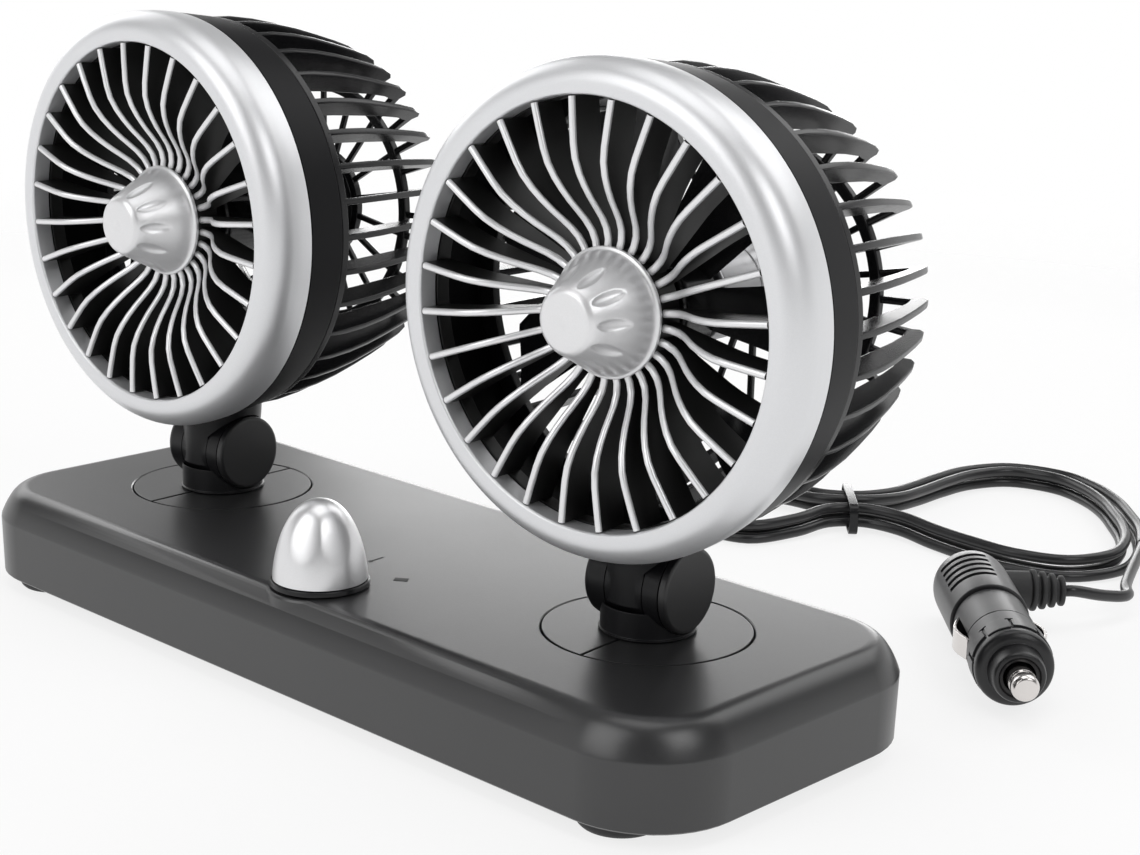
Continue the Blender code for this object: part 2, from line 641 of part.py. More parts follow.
def bezel(side, head):
    inner_lip = OPENING_RADIUS + SLEEVE_WALL
    turned(side + "_bezel", [
        (OPENING_RADIUS, 0.0), (LIP_RADIUS, LIP_FALL), (LIP_RADIUS + BEZEL_WALL / 2, LIP_FALL + LIP_ROUND),
        (BULGE_RADIUS, BULGE_DEPTH), (SEAM_RADIUS, SEAM_DEPTH), (SEAM_RADIUS - BEZEL_WALL, SEAM_DEPTH),
        (LIP_RADIUS - BEZEL_WALL, LIP_FALL + BEZEL_WALL),
        (inner_lip, LIP_FALL + BEZEL_WALL), (inner_lip, SLEEVE_DEPTH), (OPENING_RADIUS, SLEEVE_DEPTH)],
        silver_satin, closed=True, parent=head)
    front = SEAM_DEPTH + GAP
    turned(side + "_housing", [
        (SEAM_RADIUS, front), (HOUSING_REAR_RADIUS, HOUSING_DEPTH),
        (HOUSING_REAR_RADIUS - HOUSING_WALL, HOUSING_DEPTH), (SEAM_RADIUS - HOUSING_WALL, front)],
        plastic_satin, closed=True, parent=head)


def vane_outline():
    """(radius, depth) of one vane: flat near the rim, dipping to the hub in front, parallel behind."""
    root_radius = GRILLE_HUB_RADIUS - OVERLAP
    rim = OPENING_RADIUS - GAP
    ring = OPENING_RADIUS + GRILLE_RING_WALL / 2
    span = VANE_FLAT_RADIUS - root_radius
    dip = VANE_ROOT_DEPTH - VANE_RIM_DEPTH
    front = [(root_radius + span * along, VANE_RIM_DEPTH + dip * down) for along, down in VANE_DIP_SHARES]
    rear_rim = VANE_RIM_DEPTH + VANE_DEPTH
    rear_root = GRILLE_HUB_DEPTH + VANE_ROOT_DEPTH - OVERLAP
    return front + [(rim, VANE_RIM_DEPTH), (rim, SLEEVE_DEPTH + 2 * GAP), (ring, SLEEVE_DEPTH + 2 * GAP),
                    (ring, rear_rim), (VANE_FLAT_RADIUS, rear_rim), (root_radius, rear_root)]


def front_grille(side, head):
    ring_front = SLEEVE_DEPTH + GAP
    grille = turned(side + "_front_grille", [
        (OPENING_RADIUS, ring_front), (OPENING_RADIUS + GRILLE_RING_WALL, ring_front),
        (OPENING_RADIUS + GRILLE_RING_WALL, ring_front + GRILLE_RING_DEPTH),
        (OPENING_RADIUS, ring_front + GRILLE_RING_DEPTH)],
        plastic_satin, steps=VANE_COUNT, closed=True, parent=head, phase=0.0)
    hub_front = VANE_ROOT_DEPTH - OVERLAP / 2
    hub_inner, hub_floor = GRILLE_HUB_RADIUS - GRILLE_HUB_WALL, hub_front + GRILLE_HUB_WALL
    hub_back = hub_front + GRILLE_HUB_DEPTH
    hub = turned_cutter("grille_hub", [
        (0.0, hub_front), (GRILLE_HUB_RADIUS, hub_front), (GRILLE_HUB_RADIUS, hub_back),
        (hub_inner, hub_back), (hub_inner, hub_floor), (0.0, hub_floor)],
        steps=VANE_COUNT, parent=head, phase=0.0)
    vanes = plates_around("vanes", vane_outline(), VANE_THICKNESS, VANE_COUNT,
                          first=pi / 2 + pi / VANE_COUNT)
    join(grille, add_cutter("vanes", vanes, parent=head))
    join(grille, hub)


def hub_cap(side, head):
    """Bullet nose over the hub, with shallow flutes round its flank."""
    back = VANE_ROOT_DEPTH - OVERLAP / 2 - GAP
    front = -HUB_NOSE_AHEAD
    span = back - front
    nose = [(HUB_NOSE_RADIUS * out, front + HUB_NOSE_RADIUS * down) for out, down in HUB_SHARES]
    growth = HUB_RADIUS - HUB_NOSE_RADIUS
    flank = [(HUB_NOSE_RADIUS + growth * out, front + span * down) for down, out in HUB_FLANK_SHARES]
    cap = turned(side + "_hub_cap", nose + flank + [(HUB_RADIUS, back), (0.0, back)],
                 silver_hub, steps=2 * FLUTE_COUNT, parent=head)
    (r0, d0), (r1, d1) = flank[0], flank[1]
    slope = atan2(r1 - r0, d1 - d0)
    middle_radius, middle_depth = (r0 + r1) / 2, (d0 + d1) / 2
    bm = bmesh.new()
    for k in range(FLUTE_COUNT):
        turn = (Matrix.Rotation(2 * pi * k / FLUTE_COUNT - FLUTE_TURN, 4, "Z")
                @ Matrix.Translation((middle_radius + FLUTE_RADIUS - FLUTE_SINK, 0, middle_depth))
                @ Matrix.Rotation(slope, 4, "Y"))
        bmesh.ops.create_cone(bm, cap_ends=True, segments=6, radius1=FLUTE_RADIUS, radius2=FLUTE_RADIUS,
                              depth=FLUTE_LENGTH, matrix=turn)
    cut(cap, add_cutter("flutes", mesh_from("flutes", bm), parent=head))


def cage_outline():
    """(radius, depth) of one fin with the bar that turns in from its tip to the rear ring."""
    front = HOUSING_DEPTH + GAP + CAGE_RING_DEPTH / 2
    length = CAGE_DEPTH - front
    inward = FIN_RADIUS - FIN_TIP_RADIUS
    bar = REAR_RING_DEPTH
    ring = REAR_RING_RADIUS - REAR_RING_BAND / 2
    outer = [(FIN_RADIUS - OVERLAP / 2, front)]
    outer += [(FIN_RADIUS - inward * down, front + length * along) for along, down in FIN_OUTER_SHARES]
    tip = [(FIN_TIP_RADIUS - TIP_BAND / 2, CAGE_DEPTH)]
    turn_in = [(ring, REAR_RING_FRONT + bar - OVERLAP / 2), (ring, REAR_RING_FRONT + OVERLAP / 2),
               (FIN_TIP_RADIUS - TIP_BAND, CAGE_DEPTH - 2 * bar)]
    inner = [(FIN_RADIUS - FIN_BAND - (inward - FIN_BAND + TIP_BAND) * down, front + length * along)
             for along, down in FIN_INNER_SHARES]
    return outer + tip + turn_in + inner + [(FIN_RADIUS - FIN_BAND + OVERLAP, front)]


def rear_cage(side, head):
    ring_front = HOUSING_DEPTH + GAP
    cage = turned(side + "_rear_cage", [
        (CAGE_RING_INNER, ring_front), (FIN_RADIUS, ring_front), (FIN_RADIUS, ring_front + CAGE_RING_DEPTH),
        (CAGE_RING_INNER, ring_front + CAGE_RING_DEPTH)],
        plastic_black, steps=FIN_COUNT, closed=True, parent=head)
    fins = plates_around("fins", cage_outline(), FIN_THICKNESS, FIN_COUNT)
    join(cage, add_cutter("fins", fins, parent=head))
    ring_rear = REAR_RING_FRONT + REAR_RING_DEPTH
    inner = REAR_RING_RADIUS - REAR_RING_BAND
    ring = turned_cutter("rear_ring", [
        (inner, REAR_RING_FRONT), (REAR_RING_RADIUS, REAR_RING_FRONT), (REAR_RING_RADIUS, ring_rear),
        (inner, ring_rear)], steps=FIN_COUNT, closed=True, parent=head)
    join(cage, ring)
    plate_front = REAR_RING_FRONT - GAP
    near, far = MOTOR_PLATE_RADIUS - OVERLAP, inner + OVERLAP
    low, high = plate_front + OVERLAP, plate_front + SPOKE_DEPTH
    spoke = [(near, low), (far, low), (far, high), (near, high)]
    spokes = plates_around("spokes", spoke, FIN_THICKNESS, SPOKE_COUNT, first=pi / SPOKE_COUNT)
    join(cage, add_cutter("spokes", spokes, parent=head))
    bore = MOTOR_RADIUS + GAP
    cup, cup_front = bore + MOTOR_CUP_WALL, plate_front - MOTOR_CUP_DEPTH
    plate = turned_cutter("motor_plate", [
        (0.0, plate_front), (bore, plate_front), (bore, cup_front),
        (cup, cup_front), (cup, plate_front), (MOTOR_PLATE_RADIUS, plate_front),
        (MOTOR_PLATE_RADIUS, plate_front + REAR_RING_DEPTH), (0.0, plate_front + REAR_RING_DEPTH)],
        steps=SPOKE_COUNT, parent=head, phase=0.0)
    join(cage, plate)


def motor(side, head):
    rear = REAR_RING_FRONT - 2 * GAP
    front = rear - MOTOR_LENGTH
    nose = front - MOTOR_BOSS
    bore = MOTOR_SHAFT_RADIUS + GAP
    turned(side + "_motor", [
        (0.0, front + MOTOR_SHAFT_SINK), (bore, front + MOTOR_SHAFT_SINK), (bore, nose),
        (MOTOR_BOSS_RADIUS, nose), (MOTOR_BOSS_RADIUS, front), (MOTOR_RADIUS - MOTOR_CUP_WALL / 2, front),
        (MOTOR_RADIUS, front + MOTOR_CUP_WALL / 2), (MOTOR_RADIUS, rear), (0.0, rear)],
        metal_steel, steps=SMALL_ROUND, parent=head)
    return front, nose


def blade_points(r, across):
    """A point on the blade at radius r; across runs from -1, leading edge, to 1."""
    share = (r - IMPELLER_HUB_RADIUS) / (BLADE_RADIUS - IMPELLER_HUB_RADIUS)
    chord = BLADE_CHORD_ROOT + (BLADE_CHORD_TIP - BLADE_CHORD_ROOT) * share
    pitch = BLADE_PITCH_ROOT + (BLADE_PITCH_TIP - BLADE_PITCH_ROOT) * share
    along = across * chord / 2
    camber = (1 - across ** 2) * chord * BLADE_CAMBER_SHARE
    angle = along * cos(pitch) / r
    return Vector((r * cos(angle), r * sin(angle), along * sin(pitch) + camber))


def impeller(side, spin, front, nose):
    hub_rear = IMPELLER_HUB_FRONT + IMPELLER_HUB_LENGTH
    bore = MOTOR_SHAFT_RADIUS + GAP
    shaft_front = IMPELLER_HUB_FRONT + BLADE_THICKNESS + GAP
    hub = turned(side + "_impeller", [
        (0.0, IMPELLER_HUB_FRONT), (IMPELLER_HUB_RADIUS - BLADE_THICKNESS, IMPELLER_HUB_FRONT),
        (IMPELLER_HUB_RADIUS, IMPELLER_HUB_FRONT + BLADE_THICKNESS), (IMPELLER_HUB_RADIUS, hub_rear),
        (bore, hub_rear), (bore, shaft_front - GAP), (0.0, shaft_front - GAP)],
        plastic_gloss, steps=SMALL_ROUND, parent=spin)
    middle = (IMPELLER_HUB_FRONT + hub_rear) / 2
    stations, chords = 3, 4
    bm = bmesh.new()
    for k in range(BLADE_COUNT):
        turn = Matrix.Translation((0, 0, middle)) @ Matrix.Rotation(2 * pi * k / BLADE_COUNT, 4, "Z")
        rows = []
        for i in range(stations):
            r = IMPELLER_HUB_RADIUS - BLADE_THICKNESS + (BLADE_RADIUS - IMPELLER_HUB_RADIUS
                                                         + BLADE_THICKNESS) * i / (stations - 1)
            across = [2 * j / (chords - 1) - 1 for j in range(chords)]
            rows.append([bm.verts.new(turn @ blade_points(r, part)) for part in across])
        for low, high in zip(rows, rows[1:]):
            for j in range(chords - 1):
                bm.faces.new((low[j], low[j + 1], high[j + 1], high[j]))
    blades = add_cutter("blades", mesh_from("blades", bm), parent=spin)
    solid = blades.modifiers.new("thickness", "SOLIDIFY")
    solid.thickness = BLADE_THICKNESS
    solid.offset = 0.0
    join(hub, blades)
    shaft_rear = front + MOTOR_SHAFT_SINK - GAP
    turned(side + "_motor_shaft", [(0.0, shaft_front), (MOTOR_SHAFT_RADIUS, shaft_front),
                                   (MOTOR_SHAFT_RADIUS, shaft_rear), (0.0, shaft_rear)],
           metal_steel, steps=SMALL_ROUND // 2, parent=spin)


def fan_head(side):
    at_deck = Matrix.Translation((turn_x(side), TURN_Y, DECK_TOP)) @ Matrix.Rotation(HEAD_TURN[side], 4, "Z")
    swivel = frame(side + "_swivel_axis", matrix=at_deck)
    tilt = frame(side + "_tilt_axis", swivel, Matrix.Translation((0, 0, PIVOT_HEIGHT - DECK_TOP)))
    head = frame(side + "_head_axis", tilt, head_matrix())
    turntable(side, swivel)
    knuckle(side, swivel, tilt)
    bezel(side, head)
    front_grille(side, head)
    hub_cap(side, head)
    rear_cage(side, head)
    front, nose = motor(side, head)
    spin = frame(side + "_spin_axis", head)
    impeller(side, spin, front, nose)


def plug_frame():
    forward = Vector((cos(PLUG_HEADING), sin(PLUG_HEADING), 0))
    aside = Vector((-forward.y, forward.x, 0))
    turn = Matrix((aside, Vector((0, 0, 1)), forward)).transposed().to_4x4()
    return Matrix.Translation((PLUG_X, PLUG_Y, PLUG_RADIUS)) @ turn


def plug():
    axis = frame("plug_axis", matrix=plug_frame())
    rear = [(PLUG_RADIUS * out, PLUG_RADIUS * along) for out, along in PLUG_REAR_SHARES]
    body = turned("plug_body", [(0.0, 0.0), *rear, (PLUG_RADIUS, PLUG_BODY_LENGTH), (0.0, PLUG_BODY_LENGTH)],
                  plastic_satin, steps=MIDDLE_ROUND, parent=axis)
    bm = bmesh.new()
    for k in range(GROOVE_COUNT):
        z = PLUG_RADIUS / 2 + k * GROOVE_PITCH
        low = Vector((-PLUG_RADIUS / 2, PLUG_RADIUS - GROOVE_DEPTH, z))
        high = Vector((PLUG_RADIUS / 2, PLUG_RADIUS + OVERRUN, z + GROOVE_WIDTH))
        grow = Matrix.Diagonal((*(high - low), 1.0))
        bmesh.ops.create_cube(bm, size=1.0, matrix=Matrix.Translation((low + high) / 2) @ grow)
    cut(body, add_cutter("grip_grooves", mesh_from("grip_grooves", bm), parent=axis))
    front_low = PLUG_BODY_LENGTH + GAP
    front_high = front_low + PLUG_FRONT_LENGTH
    barrel = turned("plug_barrel", [
        (0.0, front_low), (PLUG_FRONT_RADIUS, front_low), (PLUG_FRONT_RADIUS, front_high), (0.0, front_high)],
        plastic_satin, steps=MIDDLE_ROUND, parent=axis)
    plug_contacts(axis, barrel, front_low, front_high)
    nose_low = front_high + GAP
    nose_high = nose_low + PLUG_NOSE_LENGTH
    bore = PLUG_TIP_RADIUS + GAP
    tip_rear = nose_high - PLUG_TIP_SINK
    turned("plug_nose", [
        (0.0, nose_low), (PLUG_NOSE_RADIUS, nose_low), (PLUG_NOSE_RADIUS, nose_low + PLUG_NOSE_LENGTH / 2),
        (PLUG_NOSE_FACE + BOOT_RIB_PITCH / 2, nose_high), (bore, nose_high),
        (bore, tip_rear - PLUG_TIP_TRAVEL - GAP), (0.0, tip_rear - PLUG_TIP_TRAVEL - GAP)],
        plastic_black, steps=MIDDLE_ROUND, parent=axis)
    tip_end = nose_high + PLUG_TIP_OUT
    face, edge = (PLUG_TIP_RADIUS * share for share in PLUG_TIP_SHARES)
    turned("plug_tip", [
        (0.0, tip_end), (face, tip_end), (PLUG_TIP_RADIUS, tip_end - edge),
        (PLUG_TIP_RADIUS, tip_rear), (0.0, tip_rear)],
        metal_nickel, steps=SMALL_ROUND, parent=axis)
    plug_boot(axis, body)


def plug_contacts(axis, barrel, low, high):
    """Two leaf springs, one on each side, that bow out of slots in the barrel."""
    start = low + (high - low - CONTACT_LENGTH) * CONTACT_START_SHARE
    steps = 6
    rest = PLUG_FRONT_RADIUS - CONTACT_THICKNESS - CONTACT_TRAVEL - GAP
    for name, way in (("near", -1), ("far", 1)):
        outline = [(PLUG_FRONT_RADIUS + CONTACT_OUT * sin(pi * k / steps),
                    start + CONTACT_LENGTH * k / steps)
                   for k in range(steps + 1)]
        inner = [(r - CONTACT_THICKNESS, z) for r, z in outline[::-1]]
        bm = bmesh.new()
        face = bm.faces.new([bm.verts.new((way * (r - CONTACT_THICKNESS), -CONTACT_WIDTH / 2, z))
                             for r, z in outline + inner])
        grown = bmesh.ops.extrude_face_region(bm, geom=[face])["geom"]
        moved = [v for v in grown if isinstance(v, bmesh.types.BMVert)]
        bmesh.ops.translate(bm, vec=(0, CONTACT_WIDTH, 0), verts=moved)
        add_part("plug_contact_" + name, mesh_from("plug_contact_" + name, bm), metal_nickel, axis)
        half = CONTACT_WIDTH / 2 + GAP
        x_low, x_high = sorted((way * (rest - CONTACT_THICKNESS), way * (PLUG_FRONT_RADIUS + OVERRUN)))
        slot_end = start + CONTACT_LENGTH + GAP
        slot = box_mesh("contact_slot", (x_low, -half, start - GAP), (x_high, half, slot_end))
        cut(barrel, add_cutter("contact_slot", slot, parent=axis))


def boot_length():
    return BOOT_NECK + (BOOT_RIB_COUNT - 0.5) * BOOT_RIB_PITCH


def plug_boot(axis, body):
    """Ribbed strain relief that leaves the side of the plug at a right angle."""
    sideways = Matrix.Translation((0, 0, BOOT_FROM_REAR)) @ along_x()
    seat = PLUG_RADIUS - OVERLAP
    room = cylinder_mesh("boot_seat", BOOT_RADIUS + GAP, seat - BOOT_NECK / 2, seat + BOOT_NECK,
                         turn=sideways)
    cut(body, add_cutter("boot_seat", room, parent=axis))
    foot = seat - BOOT_NECK / 2 + GAP
    profile = [(0.0, foot), (BOOT_RADIUS, foot), (BOOT_RADIUS, PLUG_RADIUS + BOOT_NECK)]
    for k in range(BOOT_RIB_COUNT):
        start = PLUG_RADIUS + BOOT_NECK + k * BOOT_RIB_PITCH
        taper = 1 - BOOT_TAPER_SHARE * k
        rib, root_r = BOOT_RIB_RADIUS * taper, BOOT_RADIUS * BOOT_ROOT_SHARE * taper
        profile += [(rib, start), (rib, start + BOOT_RIB_PITCH / 2)]
        if k < BOOT_RIB_COUNT - 1:
            profile += [(root_r, start + BOOT_RIB_PITCH / 2), (root_r, start + BOOT_RIB_PITCH)]
    profile.append((0.0, PLUG_RADIUS + boot_length()))
    turned("plug_boot", profile, rubber_black, steps=SMALL_ROUND, parent=axis, matrix=sideways)


def gland():
    """Ribbed, tapered strain relief in the rear wall, its flange inside."""
    backwards = Matrix.Translation((GLAND_X, BASE_WIDTH / 2, GLAND_Z)) @ Matrix.Rotation(-pi / 2, 4, "X")
    inside = -(BASE_WALL + BASE_DRAFT + GAP)
    profile = [(0.0, inside - GLAND_FLANGE_DEPTH), (GLAND_FLANGE, inside - GLAND_FLANGE_DEPTH),
               (GLAND_FLANGE, inside), (GLAND_RADIUS, inside)]
    pitch = (GLAND_LENGTH - GLAND_FLANGE_DEPTH) / GLAND_RIB_COUNT
    for k in range(GLAND_RIB_COUNT):
        start = GLAND_FLANGE_DEPTH + k * pitch
        radius = GLAND_RADIUS + (GLAND_END_RADIUS - GLAND_RADIUS) * (k + 1) / GLAND_RIB_COUNT
        rib, half_way = radius + GLAND_RIB, start + pitch / 2
        profile += [(rib, start), (rib, half_way), (radius, half_way)]
    profile += [(GLAND_END_RADIUS, GLAND_LENGTH), (0.0, GLAND_LENGTH)]
    turned("cord_gland", profile, rubber_black, steps=SMALL_ROUND, matrix=backwards)


def lobe_points(lobe, way):
    """Points of one lobe's half, from the waist to the tip, on the side that way gives."""
    sign = 1 if lobe == "far" else -1
    return [Vector((sign * HANK_REACH[lobe] * along, way * (HANK_WAIST + HANK_SPREAD[lobe] * across)
                    if across else 0.0)) for along, across in LOBE_SHARES[lobe]]


def hank_middle():
    """The middle line of one loop, counterclockwise from the far tip, read at even steps."""
    ring = lobe_points("far", 1)[::-1] + [Vector((0, HANK_WAIST))]
    ring += lobe_points("near", 1) + lobe_points("near", -1)[-2::-1]
    ring += [Vector((0, -HANK_WAIST))] + lobe_points("far", -1)[:-1]
    around = ring[-1:] + ring + ring[:2]
    fine = []
    for a, b, c, d in zip(around, around[1:], around[2:], around[3:]):
        fine += [curve_point(a, b, c, d, k / CURVE_FINE) for k in range(CURVE_FINE)]
    return even_steps(fine + fine[:1], LOOP_POINTS)[:-1]


def curve_point(a, b, c, d, t):
    """Catmull-Rom curve from b to c."""
    square, cube = 2 * a - 5 * b + 4 * c - d, 3 * b - a - 3 * c + d
    return (2 * b + (c - a) * t + square * t ** 2 + cube * t ** 3) / 2


def even_steps(fine, count):
    """The points of a fine line that divide it into equal lengths."""
    length = sum((b - a).length for a, b in zip(fine, fine[1:]))
    even, walked, target = [fine[0]], 0.0, length / count
    for a, b in zip(fine, fine[1:]):
        span = (b - a).length
        while walked + span >= target and len(even) < count:
            even.append(a.lerp(b, (target - walked) / span))
            target += length / count
        walked += span
    return even + [fine[-1]]


def hank_point(middle, step, out, layer):
    """A point of the hank in world space, out from the loop's middle line and up by layers."""
    here = middle[step % LOOP_POINTS]
    along = middle[(step + 1) % LOOP_POINTS] - middle[(step - 1) % LOOP_POINTS]
    flat = here + Vector((along.y, -along.x)).normalized() * out
    lift = (TIE_THICKNESS + GAP) * max(0.0, 1 - (flat.x / HANK_REACH["near"] * 2) ** 2)
    x = HANK_X + flat.x * cos(HANK_HEADING) - flat.y * sin(HANK_HEADING)
    y = HANK_Y + flat.x * sin(HANK_HEADING) + flat.y * cos(HANK_HEADING)
    return Vector((x, y, CORD_DIAMETER / 2 + GAP + lift + layer * HANK_LAYER))


def hank_route():
    """From the plug's side: in on the upper layer, down over half a loop, out on the lower layer."""
    middle = hank_middle()
    half = LOOP_POINTS // 2
    route = []
    for step in range(HANK_IN_POINTS + half + HANK_OUT_POINTS + 1):
        down = (step - HANK_IN_POINTS) / half
        if down < 0:
            out, layer = (HANK_IN_POINTS - step) / LOOP_POINTS * HANK_STEP, 1.0
        elif down < 1:
            out, layer = 0.0, 1.0 - down * down * (3 - 2 * down)
        else:
            out, layer = (step - HANK_IN_POINTS - half) / LOOP_POINTS * HANK_STEP, 0.0
        route.append(hank_point(middle, HANK_START_POINTS + step, out, layer))
    return route


def self_gap(route):
    """Least gap between stretches of the hank that aren't neighbours along it."""
    fine = []
    for a, b in zip(route, route[1:]):
        fine += [a.lerp(b, k / 6) for k in range(6)]
    skip = 12
    least = min((fine[i] - fine[j]).length for i in range(len(fine)) for j in range(i + skip, len(fine)))
    return least - CORD_DIAMETER


def smooth_route(points, step):
    """A smooth curve through the route's points, read at even steps between its straight ends."""
    fine = []
    for a, b, c, d in zip(points, points[1:], points[2:], points[3:]):
        fine += [curve_point(a, b, c, d, k / CURVE_FINE) for k in range(CURVE_FINE)]
    fine.append(points[-2])
    length = sum((b - a).length for a, b in zip(fine, fine[1:]))
    return points[:1] + even_steps(fine, max(2, round(length / step))) + points[-1:]


def tube(name, points, resolution):
    curve = bpy.data.curves.new(name, "CURVE")
    curve.dimensions = "3D"
    curve.bevel_depth = CORD_DIAMETER / 2
    curve.bevel_resolution = resolution
    curve.use_fill_caps = True
    spline = curve.splines.new("POLY")
    spline.points.add(len(points) - 1)
    for target, point in zip(spline.points, points):
        target.co = (*point, 1.0)
    curve.materials.append(rubber_cord)
    obj = bpy.data.objects.new(name, curve)
    parts.objects.link(obj)
    return sum((b - a).length for a, b in zip(points, points[1:]))


def straight_end(point, direction):
    """Two points that run straight away from a face, with the usual gap before it."""
    direction = direction.normalized()
    return [point + direction * GAP, point + direction * (GAP + CORD_DIAMETER)]


def cord():
    loops = hank_route()
    print("hank: least gap to itself %.2f mm" % (1000 * self_gap(loops)))
    hank_length = tube("cord_hank", loops, 1)
    gland_end = Vector((GLAND_X, BASE_WIDTH / 2 + GLAND_LENGTH, GLAND_Z))
    lead = straight_end(gland_end, Vector((0, 1, 0)))
    lead += [Vector(point) for point in LEAD_ROUTE]
    arrive = straight_end(loops[-1], loops[-1] - loops[-2])[::-1]
    lead_length = tube("cord_lead", smooth_route(lead + arrive, CORD_STEP), 2)
    boot_end = plug_frame() @ Vector((PLUG_RADIUS + boot_length(), 0, BOOT_FROM_REAR))
    away = plug_frame().to_3x3() @ Vector((1, 0, 0))
    tail = straight_end(boot_end, away)
    tail += [Vector(point) for point in TAIL_ROUTE]
    depart = straight_end(loops[0], loops[0] - loops[1])[::-1]
    tail_length = tube("cord_tail", smooth_route(tail + depart, CORD_STEP), 2)
    print("cord: lead %.3f, hank %.3f, tail %.3f, in all %.3f m"
          % (lead_length, hank_length, tail_length, lead_length + hank_length + tail_length))
    hank_tie()


def hank_tie():
    """A band round the waist of the hank."""
    out = max(HANK_IN_POINTS, HANK_OUT_POINTS) / LOOP_POINTS * HANK_STEP + HANK_WAIST
    half_width = out + CORD_DIAMETER / 2 + 2 * GAP
    height = HANK_LAYER + CORD_DIAMETER + 2 * GAP
    corner = CORD_DIAMETER / 2 + GAP
    outer = rounded_outline(2 * (half_width + TIE_THICKNESS), height + 2 * TIE_THICKNESS,
                            corner + TIE_THICKNESS)
    inner = rounded_outline(2 * half_width, height, corner)
    turn = (Matrix.Translation((HANK_X, HANK_Y, TIE_THICKNESS + height / 2 + GAP)) @ Matrix.Rotation(
        HANK_HEADING + pi / 2, 4, "Z") @ Matrix.Rotation(pi / 2, 4, "X"))
    band = add_part("hank_tie", lofted_mesh("hank_tie", [(outer, -TIE_WIDTH / 2), (outer, TIE_WIDTH / 2)]),
                    plastic_black, matrix=turn)
    hollow = lofted_mesh("tie_hollow", [(inner, -TIE_WIDTH), (inner, TIE_WIDTH)])
    cut(band, add_cutter("tie_hollow", hollow, matrix=turn))


clear_scene()
parts, cutters = make_collections()
plastic_deck = material("deck_plastic", (0.075, 0.075, 0.078), 0.55)
plastic_black = material("black_plastic", (0.022, 0.022, 0.024), 0.5)
plastic_satin = material("satin_black", (0.035, 0.035, 0.038), 0.4)
plastic_knuckle = material("knuckle_black", (0.02, 0.02, 0.022), 0.42)
plastic_gloss = material("gloss_black", (0.015, 0.015, 0.017), 0.2)
silver_satin = material("bezel_silver", (0.62, 0.63, 0.65), 0.36, 0.6)
silver_hub = material("hub_silver", (0.68, 0.68, 0.70), 0.32, 0.6)
silver_knob = material("knob_silver", (0.68, 0.68, 0.70), 0.3, 0.7)
metal_steel = material("steel", (0.5, 0.5, 0.51), 0.35, 1.0)
metal_nickel = material("nickel", (0.72, 0.70, 0.68), 0.22, 1.0)
rubber_black = material("rubber", (0.03, 0.03, 0.03), 0.8)
rubber_cord = material("cord_rubber", (0.028, 0.028, 0.03), 0.5)
base_cover()
base_bottom()
knob_and_switch()
for head_side in ("left", "right"):
    fan_head(head_side)
plug()
gland()
cord()
bpy.context.view_layer.update()
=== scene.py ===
import bmesh
import bpy
from math import asin, cos, pi, radians, sin, sqrt
from mathutils import Matrix, Vector


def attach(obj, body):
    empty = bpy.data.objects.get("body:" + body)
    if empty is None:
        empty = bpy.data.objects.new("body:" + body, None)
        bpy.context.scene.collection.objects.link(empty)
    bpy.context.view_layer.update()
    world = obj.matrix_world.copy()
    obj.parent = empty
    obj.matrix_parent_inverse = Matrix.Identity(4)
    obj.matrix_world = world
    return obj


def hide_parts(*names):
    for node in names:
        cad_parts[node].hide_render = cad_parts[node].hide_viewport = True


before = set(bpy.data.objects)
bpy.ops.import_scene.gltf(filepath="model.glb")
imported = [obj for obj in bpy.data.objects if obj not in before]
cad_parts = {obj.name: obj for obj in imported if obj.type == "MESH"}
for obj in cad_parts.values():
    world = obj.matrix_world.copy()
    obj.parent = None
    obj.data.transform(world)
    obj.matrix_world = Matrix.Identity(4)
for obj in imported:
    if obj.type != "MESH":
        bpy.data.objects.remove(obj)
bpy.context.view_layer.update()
print("frame:", len(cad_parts), "nodes")


def newObject(name, data):
    made = bpy.data.objects.new(name, data)
    bpy.context.scene.collection.objects.link(made)
    return made


# Camera first, from the photograph's angle
cameraSettings = {
    "azimuth": 43.561, "elevation": 14.297, "roll": 1.447,
    "target": (-0.01254, 0.07655, 0.04959), "distance": 0.64658, "lens": 67.38}


def addCamera(settings):
    azimuth, elevation, roll = (radians(settings[k]) for k in ("azimuth", "elevation", "roll"))
    back = Vector((sin(azimuth) * cos(elevation), -cos(azimuth) * cos(elevation), sin(elevation)))
    side = Vector((0, 0, 1)).cross(back).normalized()
    up = back.cross(side)
    right = side * cos(roll) + up * sin(roll)
    top = up * cos(roll) - side * sin(roll)
    camera = newObject("camera", bpy.data.cameras.new("camera"))
    camera.data.lens = settings["lens"]
    camera.data.sensor_width = 36
    camera.data.clip_start = 0.01
    spot = Vector(settings["target"]) + back * settings["distance"]
    camera.matrix_world = Matrix.Translation(spot) @ Matrix((right, top, back)).transposed().to_4x4()
    bpy.context.scene.camera = camera


addCamera(cameraSettings)
bpy.context.scene.view_settings.view_transform = "Standard"


# Shader helpers
def reckon(operation, turned=False):
    def apply(self, other):
        first, second = (other, self) if turned else (self, other)
        return self.board.node("ShaderNodeMath", {"operation": operation}, {0: first, 1: second})
    return apply


class Wire:  # one socket that sums can be written with
    __add__, __radd__ = reckon("ADD"), reckon("ADD", True)
    __sub__, __rsub__ = reckon("SUBTRACT"), reckon("SUBTRACT", True)
    __mul__ = reckon("MULTIPLY")

    def __init__(self, board, socket):
        self.board = board
        self.socket = socket


